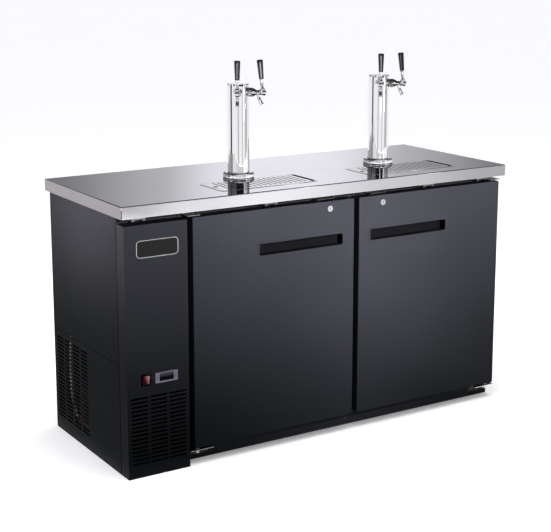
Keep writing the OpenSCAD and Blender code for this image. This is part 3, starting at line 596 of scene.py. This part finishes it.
# ---------------------------------------------------------------- towers and taps
col_lo, col_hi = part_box("tower_columns")
col_r = (col_hi.y - col_lo.y) / 2
tower_y = (col_lo.y + col_hi.y) / 2
tower_at = [Vector((col_lo.x + col_r, tower_y, 0)), Vector((col_hi.x - col_r, tower_y, 0))]
top_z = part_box("worktop_skin")[1].z
R = col_r / MM                       # column radius in mm

flange_lo, flange_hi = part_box("tower_flanges")
fr = (flange_hi.y - flange_lo.y) / 2 / MM        # flange radius and height in mm
fh = (flange_hi.z - top_z) / MM
FLANGE = [
    (R + 0.1, 0), (fr - 1.6, 0), (fr - 0.5, 0.7), (fr, 2.2), (fr, fh - 7.0), (fr - 0.3, fh - 5.2),
    (fr - 1.2, fh - 3.4), (fr - 2.6, fh - 1.9), (fr - 4.6, fh - 0.8), (fr - 7.5, fh - 0.1),
    (R + 2.2, fh), (R + 0.8, fh - 0.5), (R + 0.1, fh - 1.4),
]
SET_SCREW = [(2.5, 0), (2.5, 1.6), (2.2, 1.9), (1.2, 1.9), (1.1, 0.4), (0, 0.4)]
SET_SCREW_ANGLES = (-155, -35, 85)

flanges = bmesh.new()
set_screws = bmesh.new()
for c in tower_at:
    lathe(flanges, Matrix.Translation((c.x, c.y, top_z)), FLANGE, 96)
    for deg in SET_SCREW_ANGLES:
        d = Vector((math.cos(math.radians(deg)), math.sin(math.radians(deg)), 0))
        seat = c + Vector((0, 0, top_z + (fh / 2 - 1) * MM)) + d * (fr - 1.5) * MM
        lathe(set_screws, frame_of(seat, d), SET_SCREW, 16)
piece("flange_rings", flanges, "cabinet", "tower_chrome", "tower_flanges", smooth=40)
piece("flange_set_screws", set_screws, "cabinet", "dark_screws")

cap_top = (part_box("tower_caps")[1].z - col_hi.z) / MM
CAP = [
    (0, -6), (R - 2.5, -6), (R - 2.5, 0.0), (R - 0.2, 0.15), (R, 0.35), (R, cap_top - 1.1),
    (R - 0.25, cap_top - 0.4), (R - 0.8, cap_top), (0, cap_top),
]
caps = bmesh.new()
for c in tower_at:
    lathe(caps, Matrix.Translation((c.x, c.y, col_hi.z)), CAP, 96)
piece("tower_cap_discs", caps, "cabinet", "tower_chrome", "tower_caps", smooth=30)


def knurl(count, depth, lo, hi, phase=0.0):
    """Flutes or flats between two heights."""
    def wave(a, h, r):
        if h <= lo or h >= hi:
            return r
        return r - depth * (0.5 - 0.5 * math.cos(count * a + phase))
    return wave


# profiles in mm: (radius, distance from the column's axis)
SHANK_FLANGE = [
    (15.4, 33.5), (15.4, 40.2), (14.9, 41.0), (13.2, 41.4), (12.2, 41.6), (12.2, 43.0),
    (13.4, 43.2), (14.8, 43.8), (15.0, 44.4), (15.0, 45.0),
]
COUPLING_NUT = [
    (12.2, 44.6), (15.0, 44.7), (15.2, 45.2), (15.2, 46.5), (15.2, 50.0), (15.2, 54.5),
    (15.2, 56.6), (14.6, 57.4), (12.4, 57.9), (11.2, 58.2),
]
TAP_BODY = [
    (11.0, 57.5), (11.0, 59.6), (12.4, 60.0), (12.6, 60.8), (12.2, 62.2), (10.6, 64.5), (9.2, 67.0),
    (8.3, 70.0), (8.0, 74.0), (8.0, 84.0), (8.3, 88.0), (8.9, 91.0), (9.3, 95.0), (9.2, 98.5),
    (8.3, 102.0), (6.3, 104.6), (3.4, 105.8), (0, 106.2),
]
BODY_BEAD = [(8.1, 76.0), (9.4, 76.3), (9.6, 77.0), (9.4, 77.7), (8.1, 78.0)]
# profiles in mm: (radius, height over the tap's axis)
BONNET = [
    (7.4, -2.0), (8.8, 1.0), (9.4, 3.2), (9.6, 4.0), (9.6, 9.0), (9.2, 10.4), (8.4, 10.9),
    (7.6, 10.7), (7.3, 9.0), (7.3, 5.0), (0, 4.6),
]
SPOUT_LIP = [
    (5.9, -2.5), (6.6, -2.0), (6.7, 0.0), (6.4, 1.3), (5.6, 1.5), (5.3, 1.0), (5.3, -6.0), (0, -6.0),
]
# a disc in the spout's mouth, painted shade for the bore
SPOUT_BORE_SHADE = [(5.25, 0.2), (5.25, 0.8), (0, 0.6)]
PIVOT_BARREL = [(5.8, 0), (6.6, 0.3), (7.0, 1.0), (7.0, 10.0), (6.6, 10.7), (5.8, 11.0)]
LEVER = 35.5                         # height of the chrome lever over its pivot
KNOB = 64.0                          # height of the knob on it
LEVER_STEM = [
    (4.4, 0), (4.4, 11.5), (5.4, 12.2), (6.2, 13.2), (6.4, 15.0), (6.0, 16.4), (5.6, 17.4),
    (5.8, 20.0), (6.4, 26.0), (7.2, 32.0), (7.7, 33.0), (7.9, 34.0), (7.8, 34.9), (7.2, LEVER),
]
# points of the spout's centre line: (out from the column's axis, up from its root), in mm
SPOUT_LINE = ((78.5, 4), (78.5, -6), (79.6, -15), (82.6, -24))
SPOUT_TILT = math.radians(37)
LEVER_TILT = math.radians(5.5)
PIVOT_OVER_AXIS = 0.012


def knob_profile():
    """The knob: a foot, a slow flare and a rounded top."""
    k0, k1 = LEVER, LEVER + KNOB
    rows = [(0, k0), (7.1, k0), (7.7, k0 + 0.8), (7.9, k0 + 3.0)]
    for q in range(1, 10):
        h = k0 + 3 + (KNOB - 9) * q / 9
        rows.append((7.9 + 2.7 * ((h - k0) / KNOB) ** 1.15, h))
    return rows + [(10.5, k1 - 4.6), (10.1, k1 - 2.6), (8.9, k1 - 1.1), (6.4, k1 - 0.3), (3.0, k1), (0, k1)]


def build_tap(i):
    pivot = Vector(joints[f"tap_{i}_pull"]["pos_m"])
    c = tower_at[0] if i < 3 else tower_at[1]
    up_z = Vector((0, 0, 1))
    out = Vector((pivot.x - c.x, pivot.y - c.y, 0)).normalized()
    side = up_z.cross(out)
    tap_z = pivot.z - PIVOT_OVER_AXIS

    # shank flange, knurled coupling nut, tapered body with its bead, bonnet round the lever's seat
    bm = bmesh.new()
    axis = frame_of(Vector((c.x, c.y, tap_z)), out, up_z)
    lathe(bm, axis, SHANK_FLANGE, 72)
    lathe(bm, axis, COUPLING_NUT, 108, knurl(18, 0.9, 44.9, 57.1))
    lathe(bm, axis, TAP_BODY, 48)
    lathe(bm, axis, BODY_BEAD, 48)
    post = frame_of(Vector((pivot.x, pivot.y, tap_z)), up_z, out)
    lathe(bm, post, BONNET, 40, knurl(12, 0.5, 4.3, 8.7))

    # curved spout; a dark disc in its mouth is painted shade for the bore
    drop = out * math.sin(SPOUT_TILT) - up_z * math.cos(SPOUT_TILT)
    root = Vector((c.x, c.y, tap_z - 0.004))
    end = root + out * 0.0915 - up_z * 0.0365
    line = [root + out * (a * MM) + up_z * (b * MM) for a, b in SPOUT_LINE]
    path = smooth_path(line + [end - drop * 0.006, end], 5)
    last = len(path) - 1
    tube(bm, path, [(7.6 - 1.9 * (k / last) ** 0.8) * MM for k in range(len(path))], 24)
    mouth = frame_of(end - drop * 0.0015, drop)
    lathe(bm, mouth, SPOUT_LIP, 32)
    piece(f"tap_{i}_faucet", bm, "cabinet", "tower_chrome", "tap_bodies", smooth=38)
    # painted shade: a dark rubber disc just inside the mouth stands for the bore
    bm = bmesh.new()
    lathe(bm, mouth, SPOUT_BORE_SHADE, 24)
    piece(f"tap_{i}_spout_bore_shade", bm, "cabinet", "rubber")

    # lever and knob with six flats, leaning back from the pivot
    up = (up_z * math.cos(LEVER_TILT) - out * math.sin(LEVER_TILT)).normalized()
    lever = frame_of(pivot, up, out)
    bm = bmesh.new()
    lathe(bm, frame_of(pivot - side * 0.0055, side, out), PIVOT_BARREL, 40)
    lathe(bm, lever, LEVER_STEM, 40)
    piece(f"tap_{i}_lever_chrome", bm, f"tap_handle_{i}", "tower_chrome", f"tap_lever_{i}", smooth=38)
    bm = bmesh.new()
    flats = knurl(6, 0.75, LEVER + 2.9, LEVER + KNOB - 5.4, math.pi)
    lathe(bm, lever, knob_profile(), 96, flats)
    piece(f"tap_{i}_knob_fluted", bm, f"tap_handle_{i}", "knob_plastic", f"tap_knob_{i}", smooth=50)


for i in (1, 2, 3, 4):
    build_tap(i)


# ---------------------------------------------------------------- nameplate and controls
def wall_plate(name, lo, hi, depth0, depth1, radius, slot, inset=0.0, hole=0.0, bevel=0.0002, stands_for=None):
    """A rounded plate between two depths behind a box's front, inset from its X and Z extent.

    With hole, it is a ring of that width."""
    w, h = hi.x - lo.x - 2 * inset, hi.z - lo.z - 2 * inset
    m = frame_of(((lo.x + hi.x) / 2, lo.y + depth1, (lo.z + hi.z) / 2), (0, -1, 0), (1, 0, 0))
    inner = rounded(w - 2 * hole, h - 2 * hole, max(radius - hole, 0.0003), 8) if hole else None
    bm = bmesh.new()
    plate(bm, m, rounded(w, h, radius, 8), 0, depth1 - depth0, inner)
    piece(name, bm, "cabinet", slot, stands_for, bevel=bevel)


lo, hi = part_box("nameplate")
t = hi.y - lo.y
wall_plate("nameplate_field", lo, hi, 0.35 * t, t, 0.014, "black_enamel", stands_for="nameplate")
wall_plate("nameplate_rim", lo, hi, 0.0, 0.4 * t, 0.0132, "brushed_plate", inset=0.0008, hole=0.0028)
lo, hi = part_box("switch_bezel")
wall_plate("switch_bezel_rim", lo, hi, 0.0, 0.0016, 0.0016, "black_plastic", hole=0.0042, bevel=0.0004)

# an up and a down arrow on each controller key
ARROW_HALF, ARROW_TIP, ARROW_FROM_MIDDLE = 0.0014, 0.0016, 0.0026
for key in ("left", "right"):
    a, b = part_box(f"controller_key_{key}")
    cx, cz = (a.x + b.x) / 2, (a.z + b.z) / 2
    bm = bmesh.new()
    for way in (-1, 1):
        arrow = [(-ARROW_HALF, 0.0), (ARROW_HALF, 0.0), (0.0, way * ARROW_TIP)]
        m = frame_of((cx, a.y + 0.00025, cz + way * ARROW_FROM_MIDDLE), (0, -1, 0), (1, 0, 0))
        plate(bm, m, arrow[::way], 0, 0.0002)
    piece(f"controller_arrows_{key}", bm, f"key_{key}", "brushed_plate")
lo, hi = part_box("controller_window")
wall_plate("controller_glass", lo, hi, 0.0, 0.0012, 0.0012, "dark_window", stands_for="controller_window")


# ---------------------------------------------------------------- hinges and pans
face_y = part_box("front_frame")[0].y
LOWER_HINGES = 0.05                  # height under which a hinge face belongs to the lower pair


def hinge_shade(c, n):
    """The lower leaves' root and top, and every underside, take painted shade."""
    return c.z < LOWER_HINGES and (c.y > face_y - 0.0035 or n.z > 0.9) or n.z < -0.9


# painted shade in black enamel on the hinge faces that hinge_shade picks
with_painted_shade("hinge_brackets", "hinge_zinc", "black_enamel", hinge_shade)
# painted shadow inside the pans under the rim and on the grids' side walls, which draws the grids' dark holes
# and outlines
with_painted_shade("drip_pans", slot_of["drip_pans"], "pan_shadow", lambda c, n: c.z < top_z - 0.0008)
for n in ("drip_grid_left", "drip_grid_right"):
    with_painted_shade(n, slot_of[n], "pan_shadow", lambda c, n: n.z < 0.5, 0.00015)

# ---------------------------------------------------------------- machine bay
can_lo, can_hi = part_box("compressor")
coil_lo, coil_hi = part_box("condenser_coil")
cx, cy = (can_lo.x + can_hi.x) / 2, (can_lo.y + can_hi.y) / 2
top = can_hi.z
DISCHARGE_R, UPPER_R, WRAPPED_R, WIRE_R = 0.0032, 0.0048, 0.0045, 0.0017

pipes = bmesh.new()
discharge = [
    (cx - 0.030, cy, top - 0.006), (cx - 0.030, cy, top + 0.02), (cx - 0.034, cy - 0.03, top + 0.045),
    (cx - 0.05, cy - 0.10, top + 0.03), (cx - 0.065, coil_hi.y + 0.05, top - 0.02),
    (coil_lo.x + 0.012, coil_hi.y + 0.012, coil_hi.z - 0.03),
    (coil_lo.x + 0.012, coil_hi.y - 0.006, coil_hi.z - 0.045),
]
tube(pipes, smooth_path(discharge), DISCHARGE_R)
riser = [
    (cx + 0.055, cy, can_lo.z + 0.115), (cx + 0.083, cy + 0.01, can_lo.z + 0.125),
    (cx + 0.088, cy + 0.05, can_lo.z + 0.19), (cx + 0.085, cy + 0.07, top + 0.06),
    (cx + 0.06, cy + 0.085, top + 0.13),
]
tube(pipes, smooth_path(riser), UPPER_R)

wrapped = bmesh.new()
along_side = [
    (coil_lo.x + 0.012, coil_hi.y - 0.006, coil_lo.z + 0.03),
    (coil_lo.x + 0.010, coil_hi.y + 0.03, coil_lo.z + 0.03),
    (coil_lo.x + 0.012, cy - 0.06, coil_lo.z + 0.05), (coil_lo.x + 0.012, cy + 0.06, coil_lo.z + 0.08),
    (coil_lo.x + 0.015, cy + 0.10, coil_lo.z + 0.2), (coil_lo.x + 0.02, cy + 0.10, top + 0.10),
]
tube(wrapped, smooth_path(along_side), WRAPPED_R)
piece("wrapped_line", wrapped, "cabinet", "wire_white", smooth=60)
piece("refrigerant_pipes", pipes, "cabinet", "copper", smooth=60)

DRIER = [(3.4, 0), (4.5, 6), (9.5, 13), (9.5, 88), (4.5, 96), (3.4, 102)]
drier = bmesh.new()
lathe(drier, frame_of((coil_lo.x + 0.012, cy - 0.06, coil_lo.z + 0.05), (0, 1, 0.18)), DRIER, 28)
piece("filter_drier", drier, "cabinet", "copper", smooth=40)

wires = bmesh.new()
for k in (-1, 0, 1):
    wire = [
        (cx + 0.006 * k, can_lo.y + 0.004, can_lo.z + 0.085),
        (cx + 0.008 * k, can_lo.y - 0.018, can_lo.z + 0.09),
        (cx - 0.03 + 0.004 * k, can_lo.y - 0.022, can_lo.z + 0.03),
        (cx - 0.06, can_lo.y + 0.004 * k, can_lo.z + 0.016),
        (cx - 0.075, can_lo.y + 0.05 + 0.004 * k, can_lo.z + 0.014),
        (cx - 0.076, cy + 0.05, can_lo.z + 0.014),
    ]
    tube(wires, smooth_path(wire), WIRE_R)
piece("compressor_wires", wires, "cabinet", "wire_white", smooth=60)

# ---------------------------------------------------------------- locks
LOCK_FACE = [
    (8.9, -1.6), (8.9, -0.7), (8.6, -0.2), (7.4, 0.0), (6.6, -0.5), (6.2, -0.5), (6.0, -0.1), (0, -0.1),
]
for door_side in ("left", "right"):
    at = joints[f"{door_side}_lock_turn"]["pos_m"]
    m = frame_of((at[0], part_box(f"door_lock_{door_side}")[0].y, at[2]), (0, -1, 0), (1, 0, 0))
    bm = bmesh.new()
    lathe(bm, m, LOCK_FACE, 40)
    piece(f"lock_face_{door_side}", bm, f"lock_{door_side}", "lock_metal")
    # painted shade: a dark plate stands for the keyhole
    bm = bmesh.new()
    plate(bm, m, rounded(0.0026, 0.0085, 0.0012, 4), -0.0004, 0.00005)
    piece(f"keyhole_shade_{door_side}", bm, f"lock_{door_side}", "dark_screws")

# ---------------------------------------------------------------- camera, floor and light
# fitted to the photo's outline and edges, in the 551x532 frame
LENS_MM, SHIFT_Y = 85.1, -0.1
CAMERA_AT = (-2.4185, -3.824, 1.639)
YAW, PITCH = math.radians(32.0), math.radians(11.22)
cam_data = bpy.data.cameras.new("camera")
cam_data.lens = LENS_MM
cam_data.shift_y = SHIFT_Y
cam_data.clip_start = 0.05
cam_data.clip_end = 200
cam = bpy.data.objects.new("camera", cam_data)
cam.location = CAMERA_AT
cam.rotation_euler = (math.pi / 2 - PITCH, 0, -YAW)
bpy.context.scene.collection.objects.link(cam)
bpy.context.scene.camera = cam


def floor_material():
    """Matt pale floor with a little glow of its own, so that it stays as even as the photo's backdrop."""
    t = Tree("pale_floor")
    t.set(
        Base_Color=t.mix(t.noise(0.8, 3), (0.86, 0.86, 0.86), (0.88, 0.88, 0.88)),
        Roughness=t.remap(t.noise(3.0, 3), 0.3, 0.7, 0.85, 0.95),
        Specular_IOR_Level=0.1,
        Emission_Color=(1.0, 1.0, 1.0),
        Emission_Strength=0.22,
        Normal=t.bump(t.noise(300.0, 2), 0.05, 0.0002),
    )
    return t.mat


def stage_grid(name, segments, half, material):
    """A flat square of the studio, not part of the object."""
    mesh = bpy.data.meshes.new(name)
    bm = bmesh.new()
    bmesh.ops.create_grid(bm, x_segments=segments, y_segments=segments, size=half)
    bm.to_mesh(mesh)
    bm.free()
    mesh.materials.append(material)
    o = bpy.data.objects.new(name, mesh)
    bpy.context.scene.collection.objects.link(o)
    return o


stage_grid("floor", 8, 300, floor_material())


def light(name, place, aim, size, power, only=None, glossy=False, color=(1, 1, 1), spread=180.0):
    """An area light that the camera doesn't see. With only, it lights those pieces alone."""
    data = bpy.data.lights.new(name, "AREA")
    data.shape = "RECTANGLE"
    data.size, data.size_y = size
    data.energy = power
    data.color = color
    data.spread = math.radians(spread)
    o = bpy.data.objects.new(name, data)
    o.location = place
    o.rotation_euler = (Vector(aim) - Vector(place)).to_track_quat("-Z", "Y").to_euler()
    o.visible_camera = False
    o.visible_glossy = glossy
    bpy.context.scene.collection.objects.link(o)
    if only is not None:
        o.light_linking.receiver_collection = only
    return o


def card(name, centre, toward, size, stops, color=(1, 1, 1), flat=None):
    """A reflector that only mirrors see: stops are (place across, brightness).

    It stands and faces the point toward, or lies at the angle flat."""
    t = bpy.data.materials.new(name)
    t.use_nodes = True
    n, k = t.node_tree.nodes, t.node_tree.links
    n.clear()
    out, glow = n.new("ShaderNodeOutputMaterial"), n.new("ShaderNodeEmission")
    ramp, sep, co = n.new("ShaderNodeValToRGB"), n.new("ShaderNodeSeparateXYZ"), n.new("ShaderNodeTexCoord")
    shift = n.new("ShaderNodeMath")
    shift.operation = "ADD"
    shift.inputs[1].default_value = 0.5
    k.new(co.outputs["Object"], sep.inputs[0])
    k.new(sep.outputs[0], shift.inputs[0])
    k.new(shift.outputs[0], ramp.inputs[0])
    k.new(ramp.outputs[0], glow.inputs["Strength"])
    k.new(glow.outputs[0], out.inputs[0])
    glow.inputs["Color"].default_value = (*color, 1)
    ramp.color_ramp.interpolation = "EASE"
    for i, (x, v) in enumerate(stops):
        e = ramp.color_ramp.elements[i] if i < 2 else ramp.color_ramp.elements.new(x)
        e.position = x
        e.color = (v, v, v, 1)
    o = stage_grid(name, 2, 0.5, t)
    o.location = centre
    if flat is None:
        facing = Vector((toward[0], toward[1], centre[2])) - Vector(centre)
        o.rotation_euler = facing.to_track_quat("Z", "Y").to_euler()
    else:
        o.rotation_euler = (math.pi, 0, math.radians(flat))
    o.scale = (size[0], size[1], 1)
    o.visible_camera = o.visible_diffuse = o.visible_shadow = o.visible_transmission = False


def light_group(name, test):
    """A collection of the meshes that pass the test, for a light that reaches only those."""
    group = bpy.data.collections.new(name)
    for o in bpy.context.scene.objects:
        if o.type == "MESH" and test(o):
            group.objects.link(o)
    return group


def wears(*skins):
    return lambda o: bool({SKINS[k] for k in skins} & set(o.data.materials))


RINGS = ("flange_rings", "tower_cap_discs")
painted_set = light_group("painted_panels", wears("black_painted_steel", "cover_paint_with_painted_shade"))
knob_set = light_group("knobs", wears("knob_plastic"))
tap_set = light_group("taps", lambda o: o.name.startswith("tap_") or o.name == "tower_cap_discs")
tower_set = light_group("towers", lambda o: o.name in RINGS or o == nodes["tower_columns"])
ring_set = light_group("rings", lambda o: o.name in RINGS)

light("top_box", (0.0, -0.2, 3.4), (0.0, 0.0, 0.9), (3.0, 2.4), 95)
# narrow-beamed strips wash the upper part of the dark panels, one or two for each side:
# name, place, aim, size, watts, beam in degrees
WASH_TINT = (1.0, 0.79, 0.78)
WASH = [
    ("wash_front", (0.1, -3.2, 1.7), (0.05, -0.29, 0.95), (2.2, 0.3), 72, 28),
    ("wash_middle", (0.35, -3.0, 1.7), (0.16, -0.29, 0.5), (0.5, 0.3), 11, 24),
    ("wash_left", (-3.6, -0.1, 1.6), (-0.757, 0.0, 1.0), (0.6, 0.3), 19.5, 20),
    ("wash_right", (3.6, -0.1, 1.6), (0.76, 0.0, 1.02), (0.6, 0.3), 15, 22),
    ("wash_back", (0.0, 3.2, 1.7), (0.0, 0.287, 0.93), (1.1, 0.3), 54, 30),
]
for wash_name, place, aim, size, power, spread in WASH:
    light(wash_name, place, aim, size, power, painted_set, color=WASH_TINT, spread=spread)
# boxes that only the knobs, rings or taps see, in their gloss too: name, place, aim, size, watts, group
TAPS = (-0.1, 0.0, 1.3)
GLINTS = [
    ("glint_knobs", (-1.15, -2.2, 1.45), TAPS, (0.9, 1.6), 45, knob_set),
    ("glow_rings", (0.2, -0.6, 2.5), (0.1, 0.0, 0.9), (4.0, 3.0), 19, ring_set),
    ("glow_taps_front", (-1.5, -2.7, 1.72), TAPS, (4.6, 0.9), 11, tap_set),
    ("glow_taps_left", (-3.3, 1.05, 1.55), TAPS, (3.2, 0.9), 7, tap_set),
]
for glint_name, place, aim, size, power, group in GLINTS:
    light(glint_name, place, aim, size, power, group, glossy=True)
# pale glows just over the worktop that only the towers see, before and behind the columns
worktop_lo, worktop_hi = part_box("worktop_skin")
glow_width = 2 * (worktop_hi.x - 0.02)
FOOT_GLOWS = [(worktop_lo.y, tower_y - 0.014, 0.72), (tower_y - 0.008, worktop_hi.y, 0.3)]
for part, (y0, y1, glow) in enumerate(FOOT_GLOWS):
    power = glow * math.pi * glow_width * (y1 - y0)
    o = light(f"foot_glow_{part}", (0, 0, 0), (0, 0, 1), (glow_width, y1 - y0), power, tower_set, glossy=True)
    o.location = (0, (y0 + y1) / 2, top_z + 0.0025)
    o.rotation_euler = (math.pi, 0, 0)

FRONT_RAMP = [(0.0, 0.5), (1.0, 0.5), (0.38, 0.62), (0.5, 0.84), (0.69, 1.18), (0.79, 1.02), (0.88, 0.68)]
CAMERA_RAMP = [(0.0, 1.0), (1.0, 1.0), (0.40, 0.85), (0.5, 0.06), (0.60, 0.85)]
card("card_front", (2.4, -3.0, 0.5), (0.0, -0.2), (4.6, 1.0), FRONT_RAMP)
card("card_camera", (-1.6, -2.45, 0.5), (-0.19, 0.0), (1.5, 1.0), CAMERA_RAMP)
card("card_high", (-1.5, -2.7, 2.4), (-0.1, 0.0), (4.6, 0.9), [(0.0, 1.0), (1.0, 0.8)])
card("card_dark_front", (-0.6, -2.95, 1.45), (-0.1, 0.0), (5.4, 0.9), [(0.0, 0.02), (1.0, 0.02)])
card("card_high_left", (-3.3, 1.05, 2.1), (-0.1, 0.0), (3.2, 0.9), [(0.0, 0.8), (1.0, 0.8)])
card("mat_left", (-1.53, 0.7, 0.004), (0, 0), (1.5, 3.0), [(0.0, 0.55), (1.0, 0.34), (0.55, 0.42)], flat=0)
card("mat_front", (-0.15, -1.34, 0.004), (0, 0), (2.0, 1.7), [(0.0, 0.4), (1.0, 0.02), (0.45, 0.06)], flat=90)
card("card_above", (0.0, 0.0, 2.75), (0.0, 0.0), (6.0, 4.4), [(0.0, 0.04), (1.0, 0.04)], flat=0)
for c in tower_at:
    card(f"strip_{c.x:.2f}", (c.x + 0.45, -0.79, 1.2), (c.x, c.y), (0.06, 0.46), [(0.0, 2.6), (1.0, 2.6)])
card("card_left", (-2.56, 0.76, 0.9), (-0.19, 0.0), (0.75, 1.8), [(0.0, 0.08), (1.0, 0.08)])
BACK_TINT = (1.0, 0.96, 0.955)
card("card_back_left", (-1.9, 2.2, 0.335), (-0.75, 0.0), (2.0, 0.4), [(0.0, 0.6), (1.0, 0.6)], BACK_TINT)

# the surround's brightness: low down, high up, and how much the flag takes away
LOW_BASE, HIGH, FLAG = 0.165, 1.5, 0.95
# soft patches low down: azimuth and half width in degrees, amount
PANELS = [(31, 80, 0.13), (32.3, 5.5, 0.33), (32.3, 10.5, 0.37), (211, 7, 0.5), (130, 50, 0.3)]


def sky():
    """Plain studio surround: bright overhead and dim near the horizon, with soft patches low down."""
    w = bpy.data.worlds.new("studio")
    w.use_nodes = True
    t = w.node_tree
    t.nodes.clear()
    out = t.nodes.new("ShaderNodeOutputWorld")
    bg = t.nodes.new("ShaderNodeBackground")
    t.links.new(bg.outputs[0], out.inputs[0])
    coord = t.nodes.new("ShaderNodeTexCoord")
    sep = t.nodes.new("ShaderNodeSeparateXYZ")
    t.links.new(coord.outputs["Generated"], sep.inputs[0])

    def put(socket, v):
        if isinstance(v, bpy.types.NodeSocket):
            t.links.new(v, socket)
        else:
            socket.default_value = v

    def m(op, a, b):
        n = t.nodes.new("ShaderNodeMath")
        n.operation = op
        put(n.inputs[0], a)
        put(n.inputs[1], b)
        return n.outputs[0]

    def ramp(v, lo, hi, a, b):
        n = t.nodes.new("ShaderNodeMapRange")
        n.interpolation_type = "SMOOTHSTEP"
        for s, x in zip(("Value", "From Min", "From Max", "To Min", "To Max"), (v, lo, hi, a, b)):
            put(n.inputs[s], x)
        return n.outputs[0]

    z = sep.outputs[2]
    flat = m("MAXIMUM", m("POWER", m("MAXIMUM", m("SUBTRACT", 1.0, m("MULTIPLY", z, z)), 0.0), 0.5), 0.001)

    def bell(azimuth, half, amount):
        """A smooth bump of that half width, in degrees of azimuth measured from +Y towards +X."""
        a = math.radians(azimuth)
        c = m("ADD", m("MULTIPLY", sep.outputs[0], math.sin(a)), m("MULTIPLY", sep.outputs[1], math.cos(a)))
        return ramp(m("DIVIDE", c, flat), math.cos(math.radians(half)), 1.0, 0.0, amount)

    low = LOW_BASE
    for az, half, amount in PANELS:
        low = m("ADD", low, bell(az, half, amount))
    def above(lo, hi, a, b):
        """a below the elevation lo, b above hi, in degrees."""
        return ramp(z, math.sin(math.radians(lo)), math.sin(math.radians(hi)), a, b)

    high = above(22, 42, 0.0, 1.0)
    total = m("ADD", m("MULTIPLY", low, m("SUBTRACT", 1.0, high)), m("MULTIPLY", high, HIGH))
    # a dark flag high behind the object draws the thin dark lines along its bright edges
    flag = m("MULTIPLY", above(21, 30, 0.0, FLAG), above(64, 74, 1.0, 0.0))
    total = m("MULTIPLY", total, m("SUBTRACT", 1.0, m("MULTIPLY", bell(32, 85, 1.0), flag)))
    bg.inputs["Color"].default_value = (0.975, 0.97, 1.0, 1)
    t.links.new(total, bg.inputs["Strength"])
    bpy.context.scene.world = w


sky()
view = bpy.context.scene.view_settings
view.view_transform = "Standard"
view.look = "None"
view.exposure = 0.0
view.gamma = 0.8
